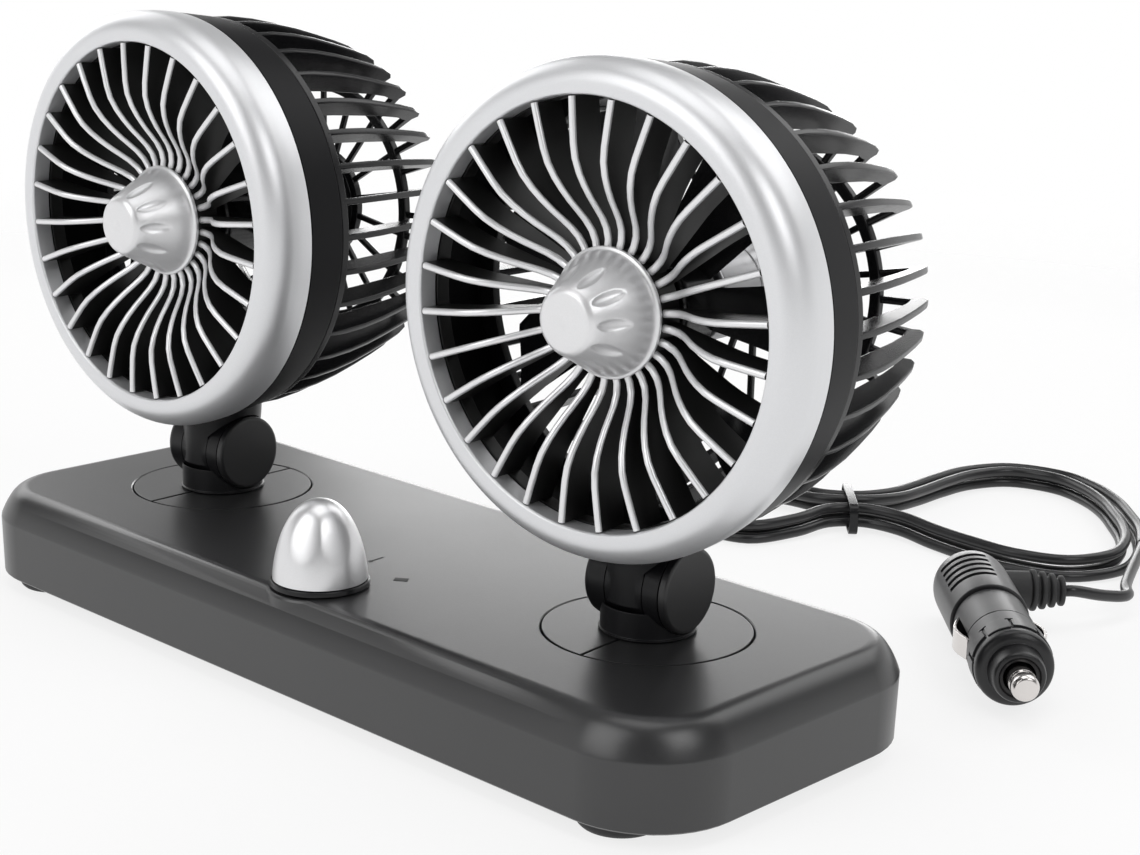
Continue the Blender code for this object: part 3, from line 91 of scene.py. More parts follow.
class Board:  # one material, or the world, and its nodes
    def __init__(self, owner):
        owner.use_nodes = True
        self.owner = owner
        self.tree = owner.node_tree
        self.shader = self.tree.nodes.get("Principled BSDF")

    def node(self, kind, settings=None, sockets=None, output=0):
        made = self.tree.nodes.new(kind)
        for key, value in (settings or {}).items():
            setattr(made, key, value)
        for key, value in (sockets or {}).items():
            self.feed(made.inputs[key], value)
        return Wire(self, made.outputs[output])

    def feed(self, socket, value):
        if isinstance(value, Wire):
            self.tree.links.new(value.socket, socket)
        elif socket.type == "RGBA" and len(value) == 3:
            socket.default_value = (*value, 1)
        else:
            socket.default_value = value

    def place(self):
        return self.node("ShaderNodeTexCoord", output="Object")

    def noise(self, scale, detail, roughness=0.5):
        return self.node("ShaderNodeTexNoise", None, {
            "Vector": self.place(), "Scale": scale, "Detail": detail, "Roughness": roughness})

    def ramp(self, share, low, high):  # 0 up to low, 1 from high on
        made = self.node("ShaderNodeValToRGB", None, {"Fac": share})
        for stop, position in zip(made.socket.node.color_ramp.elements, (low, high)):
            stop.position = position
        return made

    def blend(self, share, first, second):
        return self.node("ShaderNodeMix", {"data_type": "RGBA"}, {0: share, 6: first, 7: second}, output=2)

    def smooth(self, value, low, high, first=0, last=1):
        return self.node("ShaderNodeMapRange", {"interpolation_type": "SMOOTHSTEP"}, {
            "Value": value, "From Min": low, "From Max": high, "To Min": first, "To Max": last})

    def bump(self, strength, depth, height):
        return self.node("ShaderNodeBump", None, {"Strength": strength, "Distance": depth, "Height": height})

    def surface(self, **sockets):
        for key, value in sockets.items():
            self.feed(self.shader.inputs[key.replace("_", " ")], value)
        return self.owner


def shades(color, low, high):
    return tuple(c * low for c in color), tuple(c * high for c in color)


def moulded(name, color, drift, roughness, bump, grain=2600, cloud=24, shine=0.5, coat=0, depth=0.00008,
            cloudShare=0.7, cloudDrift=0.08, grainDrift=0.06):
    board = Board(bpy.data.materials.new(name))
    patch = board.noise(cloud, 3)
    speck = board.noise(grain, 2, 0.6)
    share = board.ramp(patch, 0.35, 0.65) * cloudShare + board.ramp(speck, 0.3, 0.75) * (1 - cloudShare)
    return board.surface(
        Base_Color=board.blend(share, *shades(color, 1 - drift, 1 + drift)),
        Roughness=roughness + (patch - 0.5) * cloudDrift + (speck - 0.5) * grainDrift,
        Normal=board.bump(bump, depth, speck), Specular_IOR_Level=shine, Coat_Weight=coat, Coat_Roughness=0.2)


def silverPaint(name, color, roughness, metallic, bump, coat=0.15, flake=5200, glintShare=0.4,
                glintDrift=0.03, cloudDrift=0.05, peelShare=0.8):
    board = Board(bpy.data.materials.new(name))
    cells = board.node("ShaderNodeTexVoronoi", None, {"Vector": board.place(), "Scale": flake}, "Color")
    glint = board.node("ShaderNodeSeparateColor", None, {"Color": cells})
    patch = board.noise(30, 3)
    share = glint * glintShare + patch * (1 - glintShare)
    height = board.noise(700, 1) * peelShare + glint * (1 - peelShare)
    return board.surface(
        Base_Color=board.blend(share, *shades(color, 0.96, 1.04)),
        Roughness=roughness + (glint - 0.5) * glintDrift + (patch - 0.5) * cloudDrift,
        Normal=board.bump(bump, 0.00001, height), Metallic=metallic, Coat_Weight=coat, Coat_Roughness=0.25)


def turnedMetal(name, color, roughness, drift=0.12, bump=0.12):
    board = Board(bpy.data.materials.new(name))
    stain = board.noise(90, 4)
    return board.surface(
        Base_Color=board.blend(stain, *shades(color, 0.86, 1.04)), Metallic=1,
        Roughness=roughness + (stain - 0.5) * drift, Normal=board.bump(bump, 0.00003, board.noise(900, 3)))


# Plastics: colour, drift of its tone, roughness, strength of the grain; metals: roughness after the colour
looks = {
    "deck": moulded("deckPlastic", (0.02, 0.02, 0.021), 0.1, 0.31, 0.22, grain=2400, shine=0.75),
    "plate": moulded("platePlastic", (0.03, 0.03, 0.032), 0.12, 0.55, 0.35, grain=1900),
    "housing": moulded("housingPlastic", (0.006, 0.006, 0.007), 0.1, 0.42, 0.2, shine=0.1),
    "cage": moulded("cagePlastic", (0.007, 0.007, 0.008), 0.12, 0.25, 0.12, shine=0.35),
    "vaneSide": moulded("vaneSidePlastic", (0.01, 0.01, 0.01), 0.12, 0.4, 0.16, shine=0.4),
    "knuckle": moulded("knucklePlastic", (0.006, 0.006, 0.007), 0.1, 0.34, 0.16, shine=0.26),
    # pivot caps: the knuckle plastic painted a touch lighter as a painted reflection of the floor on the
    # cap's face; the higher shine is real reflection
    "cap": moulded("capPlasticPaintedReflection", (0.008, 0.008, 0.009), 0.1, 0.38, 0.2, shine=0.6),
    "fan": moulded("fanPlastic", (0.01, 0.01, 0.011), 0.1, 0.22, 0.08, coat=0.2),
    "plugShell": moulded("plugPlastic", (0.024, 0.024, 0.026), 0.12, 0.34, 0.2),
    "plugNose": moulded("nosePlastic", (0.009, 0.009, 0.01), 0.12, 0.34, 0.15),
    "rubber": moulded("rubber", (0.028, 0.028, 0.029), 0.15, 0.62, 0.4, grain=1500),
    "cord": moulded("cordSheath", (0.014, 0.014, 0.015), 0.14, 0.32, 0.18, grain=1300, cloud=60),
    "print": moulded("tickPrint", (0.01, 0.01, 0.01), 0.1, 0.5, 0.05, shine=0.2),
    "bezel": silverPaint("bezelPaint", (0.74, 0.745, 0.76), 0.4, 0.65, 0.1),
    "vane": silverPaint("vanePaint", (0.82, 0.82, 0.83), 0.32, 0.6, 0.08),
    "hub": silverPaint("hubPaint", (0.78, 0.78, 0.79), 0.36, 0.6, 0.08, coat=0.2),
    "knob": silverPaint("knobPaint", (0.76, 0.76, 0.77), 0.34, 0.75, 0.03, coat=0.25),
    "steel": turnedMetal("motorSteel", (0.45, 0.45, 0.46), 0.34),
    "nickel": turnedMetal("contactNickel", (0.74, 0.71, 0.69), 0.2)}
print("finishes:", len(looks))


def mm(*points):  # points given in millimetres
    return [tuple(v / 1000 for v in point) for point in points]


def lifted(points, z):
    return [(point[0], point[1] + z, *point[2:]) for point in points]


# Mesh helpers: profiles are (radius, height) points about Z, with a rounding of their own where given
def soften(points, radius, closed=False, steps=4):
    made = []
    for i, here in enumerate(points):
        reach = here[2] if len(here) > 2 else radius
        if (not closed and i in (0, len(points) - 1)) or reach == 0:
            made.append(tuple(here[:2]))
            continue
        corner = Vector(here[:2])
        before = Vector(points[i - 1][:2]) - corner
        after = Vector(points[(i + 1) % len(points)][:2]) - corner
        start = corner + before.normalized() * min(reach, before.length * 0.48)
        end = corner + after.normalized() * min(reach, after.length * 0.48)
        for k in range(steps + 1):
            t = k / steps
            made.append(tuple(start * (1 - t) ** 2 + corner * 2 * t * (1 - t) + end * t * t))
    return made


def around(steps):
    return [2 * pi * k / steps for k in range(steps)]


def ring(bm, z, polar):
    return [bm.verts.new((r * cos(angle), r * sin(angle), z)) for angle, r in polar]


def lathe(bm, profile, steps=96, closed=False):
    angles = around(steps)
    columns = [[bm.verts.new((0, 0, z))] * steps if r < 1e-7 else ring(bm, z, [(a, r) for a in angles])
               for r, z in profile]
    for a, b in list(zip(columns, columns[1:])) + ([(columns[-1], columns[0])] if closed else []):
        for k in range(steps):
            n = (k + 1) % steps
            corners = list(dict.fromkeys((a[k], a[n], b[n], b[k])))
            if len(corners) > 2:
                bm.faces.new(corners)


def slab(bm, outline, low, high, place=None, bevel=0):
    base = [bm.verts.new((x, y, low)) for x, y in outline]
    top = [bm.verts.new((x, y, high)) for x, y in outline]
    faces = [bm.faces.new(base[::-1]), bm.faces.new(top)]
    faces += [bm.faces.new((base[i - 1], base[i], top[i], top[i - 1])) for i in range(len(base))]
    bmesh.ops.recalc_face_normals(bm, faces=faces)
    if bevel:
        rim = [e for f in faces[:2] for e in f.edges]
        made = bmesh.ops.bevel(bm, geom=rim, offset=bevel, segments=2, profile=0.5, affect="EDGES")
        faces = list({f for f in faces if f.is_valid} | set(made["faces"]))
    if place:
        bmesh.ops.transform(bm, matrix=place, verts=list({v for f in faces for v in f.verts}))


def arc(radius, angles, x=0, y=0):
    return [(x + radius * cos(a), y + radius * sin(a)) for a in angles]


def skin(bm, rings):
    for a, b in zip(rings, rings[1:]):
        for n in range(len(a)):
            bm.faces.new((a[n - 1], a[n], b[n], b[n - 1]))


def roundedBox(length, width, radius, steps=12):
    points = []
    for quarter in range(4):
        middle = (quarter + 0.5) * pi / 2
        x = (length / 2 - radius) * (1 if cos(middle) > 0 else -1)
        y = (width / 2 - radius) * (1 if sin(middle) > 0 else -1)
        points += arc(radius, [(quarter + k / steps) * pi / 2 for k in range(steps + 1)], x, y)
    return points


def newMesh(bm, name="tool"):
    bmesh.ops.recalc_face_normals(bm, faces=bm.faces)
    mesh = bpy.data.meshes.new(name)
    bm.to_mesh(mesh)
    bm.free()
    return mesh


def loftMesh(sections):
    bm = bmesh.new()
    rings = [[bm.verts.new((x, y, z)) for x, y in outline] for outline, z in sections]
    skin(bm, rings)
    bm.faces.new(rings[0][::-1])
    bm.faces.new(rings[-1])
    return newMesh(bm)


def roundMesh(profile, steps=96, place=None):
    bm = bmesh.new()
    lathe(bm, profile, steps)
    if place:
        bmesh.ops.transform(bm, matrix=place, verts=bm.verts)
    return newMesh(bm)


def rod(radius, low, high, place=None, steps=96):
    return roundMesh([(0, low), (radius, low), (radius, high), (0, high)], steps, place)


def plank(outline, low, high, place=None):
    bm = bmesh.new()
    slab(bm, outline, low, high, place)
    return newMesh(bm)


def block(left, right, half, low, high, place=None):  # plain box, centred in Y
    return plank([(left, -half), (right, -half), (right, half), (left, half)], low, high, place)


def arcBand(inner, outer, turns):  # outline of a curved band, for cuts round an axis
    return arc(outer, turns) + arc(inner, turns[::-1])


cut, join, common = "DIFFERENCE", "UNION", "INTERSECT"


def carve(mesh, steps):  # Boolean steps: (operation, other mesh)
    body = newObject("carved", mesh)
    others = []
    for operation, other in steps:
        tool = newObject("tool", other)
        others.append(tool)
        modifier = body.modifiers.new("carve", "BOOLEAN")
        modifier.operation = operation
        modifier.solver = "EXACT"
        modifier.object = tool
    bpy.context.view_layer.update()
    done = bpy.data.meshes.new_from_object(body.evaluated_get(bpy.context.evaluated_depsgraph_get()))
    for gone in [body, *others]:
        bpy.data.objects.remove(gone)
    return done


def makePiece(name, mesh, finish, body, node=None, place=None, sharp=38, bevel=0, second=None):
    if isinstance(mesh, bmesh.types.BMesh):
        mesh = newMesh(mesh, name)
    if place:
        mesh.transform(place)
    if mesh.materials:
        mesh.materials.clear()
    for look in [finish] + ([second] if second else []):
        mesh.materials.append(looks[look])
    bm = bmesh.new()
    bm.from_mesh(mesh)
    for edge in bm.edges:
        edge.smooth = len(edge.link_faces) != 2 or edge.calc_face_angle(0) < radians(sharp)
    for face in bm.faces:
        face.smooth = True
    bm.to_mesh(mesh)
    bm.free()
    piece = newObject(name, mesh)
    if bevel:
        edge = piece.modifiers.new("edges", "BEVEL")
        edge.width = bevel
        edge.segments = 2
        edge.limit_method = "ANGLE"
        edge.angle_limit = radians(sharp)
        edge.harden_normals = True
    else:
        piece.modifiers.new("flatFaces", "WEIGHTED_NORMAL").keep_sharp = True
    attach(piece, body)
    if node:
        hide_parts(node)
    return piece


def turnPiece(name, points, soft, finish, body, node, place=None, steps=96, closed=False, fine=4, sharp=38):
    bm = bmesh.new()
    lathe(bm, soften(points, soft, closed, fine), steps, closed)
    makePiece(name, bm, finish, body, node, place, sharp)


# Where the moving frames stand, and the play between neighbours
stand = {
    "turnX": 0.0867, "turnY": 0.0021, "deckTop": 0.0298, "pivotHeight": 0.0422,
    "rise": 0.0704, "ahead": 0.0297, "turned": {"left": radians(2), "right": radians(5)}}
gap = 0.0003


def shift(x, y, z):
    return Matrix.Translation((x, y, z))


def rotate(angle, axis="Z"):
    return Matrix.Rotation(angle, 4, axis)


alongX = rotate(pi / 2, "Y")
backward = rotate(-pi / 2, "X")
upright = rotate(pi / 2, "X")
fromPivot = shift(0, -stand["ahead"], stand["rise"])


def swivelPlace(side):
    x = stand["turnX"] * (1 if side == "right" else -1)
    return shift(x, stand["turnY"], stand["deckTop"]) @ rotate(stand["turned"][side])


def pivotPlace(side):
    return swivelPlace(side) @ shift(0, 0, stand["pivotHeight"] - stand["deckTop"])


def headPlace(side):
    return pivotPlace(side) @ fromPivot @ backward


# Cord: one flex from the gland, through the hank, to the plug
cordSettings = {
    "diameter": 0.0035, "hankAt": (0.008, 0.194), "heading": radians(42),
    "reach": {"far": 0.088, "near": 0.05}, "spread": {"far": 0.048, "near": 0.02},
    "lobe": {"far": ((0.2, 0.16), (0.43, 0.66), (0.66, 1), (0.88, 0.86), (0.98, 0.44), (1, 0)),
             "near": ((0.26, 0.22), (0.52, 0.82), (0.8, 1), (0.97, 0.5), (1, 0))},
    "waist": 0.0028, "step": 0.0053, "layer": 0.0044, "lift": 0.0013, "start": -2,
    "pointsIn": 38, "pointsOut": 48, "perLoop": 28, "glandEnd": (0, 0.0712, 0.0125),
    "leadBy": mm((-1, 82, 8.8), (-5, 96, 2.35), (-14, 112, 2.05)),
    "tailBy": mm((120, 169, 8.5), (121.5, 180, 6.5), (115, 191, 6.2)),
    "plugAt": (0.088, 0.144), "plugHeading": radians(-46.6), "plugRadius": 0.0112,
    "bootAt": 0.0085, "bootLength": 0.0158}


def curveThrough(points, parts):  # all but the first and the last point are on it
    shares = [k / parts for k in range(parts)]
    return [0.5 * (2 * b + (c - a) * t + (2 * a - 5 * b + 4 * c - d) * t * t
                   + (3 * b - a - 3 * c + d) * t ** 3)
            for a, b, c, d in zip(points, points[1:], points[2:], points[3:]) for t in shares]


def openCurve(points):
    padded = [2 * points[0] - points[1], *points, 2 * points[-1] - points[-2]]
    return curveThrough(padded, 6) + [points[-1]]


def evenSteps(fine, count):
    length = sum((b - a).length for a, b in zip(fine, fine[1:]))
    even, walked, target = [fine[0]], 0, length / count
    for a, b in zip(fine, fine[1:]):
        span = (b - a).length
        while walked + span >= target and len(even) < count:
            even.append(a.lerp(b, (target - walked) / span))
            target += length / count
        walked += span
    return even + [fine[-1]]


def hankRoute(s):
    def lobe(name, way):
        sign = 1 if name == "far" else -1
        return [Vector((sign * s["reach"][name] * along,
                        way * (s["waist"] + s["spread"][name] * across) if across else 0))
                for along, across in s["lobe"][name]]
    loop = lobe("far", 1)[::-1] + [Vector((0, s["waist"]))]
    loop += lobe("near", 1) + lobe("near", -1)[-2::-1]
    loop += [Vector((0, -s["waist"]))] + lobe("far", -1)[:-1]
    fine = curveThrough(loop[-1:] + loop + loop[:2], 16)
    per, half = s["perLoop"], s["perLoop"] // 2
    middle = evenSteps(fine + fine[:1], per)[:-1]
    (x, y), c, n = s["hankAt"], cos(s["heading"]), sin(s["heading"])
    route = []
    for step in range(s["pointsIn"] + half + s["pointsOut"] + 1):
        down = (step - s["pointsIn"]) / half
        if down < 0:  # winding in, on the upper layer
            out, layer = (s["pointsIn"] - step) / per * s["step"], 1
        elif down < 1:
            out, layer = 0, 1 - down * down * (3 - 2 * down)
        else:  # winding out, on the table
            out, layer = (step - s["pointsIn"] - half) / per * s["step"], 0
        k = s["start"] + step
        along = middle[(k + 1) % per] - middle[(k - 1) % per]
        flat = middle[k % per] + Vector((along.y, -along.x)).normalized() * out
        lift = s["lift"] * max(0, 1 - (flat.x / s["reach"]["near"] * 2) ** 2)
        height = s["diameter"] / 2 + gap + lift + layer * s["layer"]
        route.append(Vector((x + flat.x * c - flat.y * n, y + flat.x * n + flat.y * c, height)))
    return route


def plugPlace(s):
    forward = Vector((cos(s["plugHeading"]), sin(s["plugHeading"]), 0))
    aside = Vector((-forward.y, forward.x, 0))
    turn = Matrix((aside, Vector((0, 0, 1)), forward)).transposed().to_4x4()
    return shift(*s["plugAt"], s["plugRadius"]) @ turn


def straightEnd(point, direction, diameter):
    direction = direction.normalized()
    return [point + direction * gap, point + direction * (gap + diameter)]


def cordRoute(s):
    loops = hankRoute(s)
    lead = straightEnd(Vector(s["glandEnd"]), Vector((0, 1, 0)), s["diameter"])
    lead += map(Vector, s["leadBy"])
    lead.append(loops[-1] + (loops[-1] - loops[-2]).normalized() * (gap + s["diameter"]))
    plug = plugPlace(s)
    tail = straightEnd(plug @ Vector((s["plugRadius"] + s["bootLength"], 0, s["bootAt"])),
                       plug.to_3x3() @ Vector((1, 0, 0)), s["diameter"])
    tail += map(Vector, s["tailBy"])
    tail.append(loops[0] + (loops[0] - loops[1]).normalized() * (gap + s["diameter"]))
    return openCurve(lead + loops[::-1] + tail[::-1])


def addCord(s):
    route = cordRoute(s)
    curve = bpy.data.curves.new("cordFlex", "CURVE")
    curve.dimensions = "3D"
    curve.bevel_depth = s["diameter"] / 2
    curve.bevel_resolution = 5
    curve.use_fill_caps = True
    spline = curve.splines.new("POLY")
    spline.points.add(len(route) - 1)
    for target, point in zip(spline.points, route):
        target.co = (*point, 1)
    curve.materials.append(looks["cord"])
    flex = newObject("cordFlex", curve)
    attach(flex, "base")
    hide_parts("cord_lead", "cord_hank", "cord_tail")
    length = sum((b - a).length for a, b in zip(route, route[1:]))
    print("cord: %.3f m, %d points" % (length, len(route)))
    return flex, route[0], length


flex, flexExit, flexLength = addCord(cordSettings)


# Base
baseSettings = {
    "length": 0.28, "width": 0.1064, "corner": 0.0255, "draft": 0.0008, "wall": 0.0024, "low": 0.004,
    "crease": 0.0212, "top": 0.0298, "deckWall": 0.0026, "crownRun": 0.0084, "crownPower": 2.5,
    "crownSteps": 16, "plateInset": 0.0035, "plateThick": 0.0022, "footAt": (0.116, 0.0387),
    "screwAt": (0.095, 0.03), "screwHead": 0.0036, "screwSunk": 0.0012, "blockRadius": 0.03,
    "blockDepth": 0.0053, "spigot": 0.0088, "through": (-0.017, 0.004), "knobAt": (0.006, -0.0365),
    "bore": 0.0049, "glandZ": 0.0125, "glandBore": 0.0047,
    "side": mm((0.9, 4), (0.4, 4.5), (0, 20.9), (0.04, 21.2)),
    "well": mm((0, -2.9), (27, -2.9), (27, -0.3), (27.4, 0.1), (27.4, 4), (0, 4)),
    "pad": mm((0, -9.7), (14.6, -9.7), (14.1, -1), (13.8, -0.5), (13.4, -0.3), (0, -0.3)),
    "foot": mm((10.5, 1.2, 0.8), (9.3, 0, 0.5), (5, 0, 0.2), (4.6, 0.5, 0.3), (0, 0.5)),
    "screw": mm((0, 0), (3, 0, 0), (3, -0.5, 0.3), (2.2, -1, 0.5), (0, -1))}
knobFoot = shift(*baseSettings["knobAt"], baseSettings["top"])
glandPlace = shift(0, baseSettings["width"] / 2, baseSettings["glandZ"]) @ backward


def baseOutline(inset):
    length, width, corner = (baseSettings[key] for key in ("length", "width", "corner"))
    return roundedBox(length - 2 * inset, width - 2 * inset, max(corner - inset, corner / 4))


def addBase():
    b = baseSettings
    crease, run = b["crease"], b["crownRun"]
    outer = list(b["side"])
    for k in range(1, b["crownSteps"] + 1):
        share = (k / b["crownSteps"]) ** 1.5
        outer.append((run * share, crease + (b["top"] - crease) * (1 - (1 - share) ** b["crownPower"])))
    hollow = [(b["wall"] + b["draft"], 0), (b["wall"], crease - b["deckWall"]),
              (b["wall"] + run / 2, b["top"] - b["deckWall"])]
    steps = [(cut, loftMesh([(baseOutline(inset), z) for inset, z in hollow]))]
    deep, over = b["through"]
    for x in (-stand["turnX"], stand["turnX"]):
        place = shift(x, stand["turnY"], b["top"])
        steps += [(join, rod(b["blockRadius"], -b["blockDepth"], -b["deckWall"] / 2, place)),
                  (cut, roundMesh(b["well"], 128, place)), (cut, rod(b["spigot"], deep, over, place, 64))]
    steps += [(join, roundMesh(b["pad"], 96, knobFoot)), (cut, rod(b["bore"], deep, over, knobFoot, 48)),
              (cut, rod(b["glandBore"], -over, over, glandPlace, 48))]
    shell = carve(loftMesh([(baseOutline(inset), z) for inset, z in outer]), steps)
    makePiece("baseShell", shell, "deck", "base", "base_cover", sharp=13)
    addUnderside(b)


def addUnderside(b):
    low, sunk, edge = b["low"], b["screwSunk"], baseOutline(b["plateInset"])
    (screwX, screwY), (footX, footY) = b["screwAt"], b["footAt"]
    spots = [(n, m, x, y) for n, x in enumerate((-screwX, screwX)) for m, y in enumerate((-screwY, screwY))]
    screws = [(cut, rod(b["screwHead"], -0.001, sunk, shift(x, y, low), 40)) for n, m, x, y in spots]
    plate = carve(loftMesh([(edge, low), (edge, low + b["plateThick"])]), screws)
    makePiece("underPlate", plate, "plate", "base", "base_plate", bevel=0.0003)
    for n, m, x, y in spots:
        addScrew("plateScrew%d%d" % (n, m), shift(x, y, low + sunk))
    foot = [(0, low - gap), (0.0105, low - gap, 0.0002), *b["foot"]]
    for depth, y in (("front", -footY), ("rear", footY)):
        for side, x in (("left", -footX), ("right", footX)):
            turnPiece("pad%s%s" % (depth.title(), side.title()), foot, 0.0004, "rubber", "base",
                      "foot_%s_%s" % (depth, side), shift(x, y, 0), 72)


def addScrew(name, place):
    half, wide = 0.0018, 0.0003
    cross = [(cut, block(-half, half, wide, -0.002, -0.0005, rotate(turn + 0.4))) for turn in (0, pi / 2)]
    head = roundMesh(soften(baseSettings["screw"], 0.0003), 40)
    makePiece(name, carve(head, cross), "steel", "base", None, place)


addBase()
print("base done")


# Knob, its skirt, shaft and the marks beside it
knobSettings = {
    "radius": 0.0125, "low": 0.002, "high": 0.0231, "fullness": (1.62, 0.43), "rows": 72, "steps": 180,
    "wall": 0.93, "roof": 0.004, "pointer": radians(141), "dishTurn": radians(24), "dishWide": 0.0047,
    "dishMid": 0.0146, "dishTall": 0.0066, "sink": 0.0004,
    "skirt": [(0.0033, 0.0017), (0.0129, 0.0017), (0.0132, gap), (0.0033, gap)],
    "shaft": mm((0, 9.8), (2.6, 9.8), (3, 9.4), (3, -6.6), (0, -6.6)),
    "marks": (((0.0005, -0.0141), (0, -0.0094), 0.0005), ((0.0162, -0.0197), (0.0193, -0.0175), 0.0024)),
    "dot": (0.0005, -0.0143, 0.0007), "inkLow": 0.00002, "ink": 0.00004}


def addKnob():
    k = knobSettings
    steps = k["steps"]
    angles = around(steps)
    bm = bmesh.new()
    rings = []
    for row in range(k["rows"]):
        share = sin(pi / 2 * row / k["rows"])
        height = k["low"] + (k["high"] - k["low"]) * share
        radius = k["radius"] * (1 - share ** k["fullness"][0]) ** k["fullness"][1]
        rings.append(ring(bm, height, [(a, radius - fingerDish(a, radius, height, k)) for a in angles]))
    skin(bm, rings)
    peak = bm.verts.new((0, 0, k["high"]))
    for n in range(steps):
        bm.faces.new((rings[-1][n - 1], rings[-1][n], peak))
    foot = rings[0]
    inner, roof = ([bm.verts.new((v.co.x * k["wall"], v.co.y * k["wall"], z)) for v in foot]
                   for z in (k["low"], k["low"] + k["roof"]))
    for n in range(steps):
        bm.faces.new((foot[n], foot[n - 1], inner[n - 1], inner[n]))
        bm.faces.new((inner[n], inner[n - 1], roof[n - 1], roof[n]))
    bm.faces.new(roof)
    makePiece("knobDome", bm, "knob", "knob", "speed_knob", knobFoot, sharp=50)
    turnPiece("knobSkirt", k["skirt"], 0.0003, "cage", "knob", "knob_skirt", knobFoot, closed=True)
    turnPiece("knobShaft", k["shaft"], 0, "steel", "knob", "switch_shaft", knobFoot, 40)
    bm = bmesh.new()
    for start, end, width in k["marks"]:
        along = (Vector(end) - Vector(start)).normalized()
        aside = Vector((-along.y, along.x)) * width / 2
        corners = ((start, -aside), (end, -aside), (end, aside), (start, aside))
        slab(bm, [tuple(Vector(p) + q) for p, q in corners], 0, k["ink"])
    x, y, r = k["dot"]
    slab(bm, arc(r, around(16), x, y), 0, k["ink"])
    makePiece("knobMarks", bm, "print", "base", None, shift(0, 0, baseSettings["top"] + k["inkLow"]))


def fingerDish(angle, radius, height, k):  # how far the finger dishes beside each ridge sink the dome
    deepest = 0
    for ridge in (k["pointer"], k["pointer"] + pi):
        for way in (-1, 1):
            turn = (angle - ridge - way * k["dishTurn"] + pi) % (2 * pi) - pi
            across, up = turn * radius / k["dishWide"], (height - k["dishMid"]) / k["dishTall"]
            deepest = max(deepest, k["sink"] * max(0, 1 - across * across - up * up) ** 1.5)
    return deepest


addKnob()


# Turntables and knuckles
knuckleSettings = {
    "plate": 0.0265, "plateHole": 0.0088, "plateLow": -0.0026, "plateEdge": 0.0002, "radius": 0.0109,
    "lugIn": 0.0059, "lugOut": 0.0128, "cap": 0.0021, "play": 0.0004, "pin": 0.0024, "columnFoot": 0.00304,
    "swept": 0.0126, "sweptTop": 0.0045, "wide": 0.014, "aside": 0.016,
    "collar": mm((0, 7.4), (12, 7.4), (12, 0.8), (12.4, 0.7, 0.1), (12.4, 0.3, 0.1), (8.5, 0.3, 0),
        (8.5, -7.7, 0), (0, -7.7)),
    "lugs": mm((0, 10.4), (10.9, 10.4, 0.1), (10.9, -12.8, 2.4), (0, -12.8)),
    "capShape": mm((0, 12.8), (10.2, 12.8, 0.4), (10.9, 12.4, 0.4), (10.9, 10.7, 0.2), (0, 10.7)),
    "column": mm((0, -4), (11.5, -4, 0.4), (11.5, 7.04, 2), (12, 12.04, 3), (12, 19, 0), (0, 19)),
    "headOutside": mm((0, 2.2), (59.3, 2.2), (59.3, 14.2), (57.7, 26.8), (57.7, 77), (0, 77))}


def halfRound(radius, edge, steps):  # the rim of a half disc whose straight side stands at X = edge
    start = asin(edge / radius)
    return arc(radius, [start - pi / 2 + (pi - 2 * start) * k / steps for k in range(steps + 1)])


def addTurntable(side):
    k = knuckleSettings
    edge = gap / 2 + k["plateEdge"]
    outline = halfRound(k["plate"], edge, 72) + halfRound(k["plateHole"], edge, 36)[::-1]
    for half, way in (("outer", 1), ("inner", -1)):
        bm = bmesh.new()
        slab(bm, [(way * x, y) for x, y in outline], k["plateLow"], 0, bevel=k["plateEdge"])
        makePiece("%sPlate%s" % (side, half.title()), bm, "deck", side + "_swivel",
                  "%s_turntable_%s" % (side, half), swivelPlace(side))


def addKnuckle(side):
    k = knuckleSettings
    at = pivotPlace(side)
    lower = shift(0, 0, stand["deckTop"] - stand["pivotHeight"])
    radius, lugIn, lugOut = k["radius"], k["lugIn"], k["lugOut"]
    capIn = lugOut - k["cap"]
    collar = roundMesh(soften(k["collar"], 0.0002), 96, lower)
    lugs = roundMesh(soften(k["lugs"], 0.0002, steps=6), 96, alongX)
    # room for the tongue at both ends of the tilt
    low, high = -k["swept"] * sin(radians(55)), k["sweptTop"]
    ball = [(sqrt(k["swept"] ** 2 - z * z), z) for z in [low + (high - low) * n / 24 for n in range(25)]]
    between = block(-lugIn, lugIn, k["wide"], -0.02, 0.02)
    room = carve(roundMesh([(0, low), *ball, (0, high)]), [(common, between)])
    yoke = carve(collar, [(join, lugs), (cut, room),
                          (cut, rod(radius + k["play"], -lugIn, lugIn, alongX)),
                          (cut, rod(radius + gap, capIn - gap, lugOut + 0.004, alongX)),
                          (cut, rod(k["pin"] + gap, -capIn, capIn + 0.004, alongX, 32))])
    makePiece(side + "Yoke", yoke, "knuckle", side + "_swivel", side + "_yoke", at, sharp=32)
    # the caps take the cap finish, whose lighter colour is a painted reflection
    turnPiece(side + "PivotCap", k["capShape"], 0.0001, "cap", side + "_swivel", side + "_pivot_cap",
              at @ alongX)
    addNeck(side, at)


def addNeck(side, at):
    k = knuckleSettings
    tongue = k["lugIn"] - gap
    column = roundMesh(soften(k["column"], 0.0002, steps=6))
    steps = []
    for way in (-1, 1):
        low, high = sorted((way * tongue, way * k["aside"]))
        steps.append((cut, rod(k["radius"] + k["play"], low, high, alongX)))
        # no face in the plane of another: the Boolean would leave scraps
        low, high = sorted((way * (tongue + 0.00005), way * (k["aside"] + 0.001)))
        steps.append((cut, block(low, high, k["wide"], -0.006, k["columnFoot"])))
    steps += [(join, rod(k["radius"], -tongue, tongue, alongX)),
              (cut, rod(k["pin"] + gap, -tongue - 0.003, tongue + 0.003, alongX, 32)),
              (cut, roundMesh(k["headOutside"], 128, fromPivot @ backward))]
    makePiece(side + "Neck", carve(column, steps), "knuckle", side + "_head", side + "_neck", at, sharp=32)


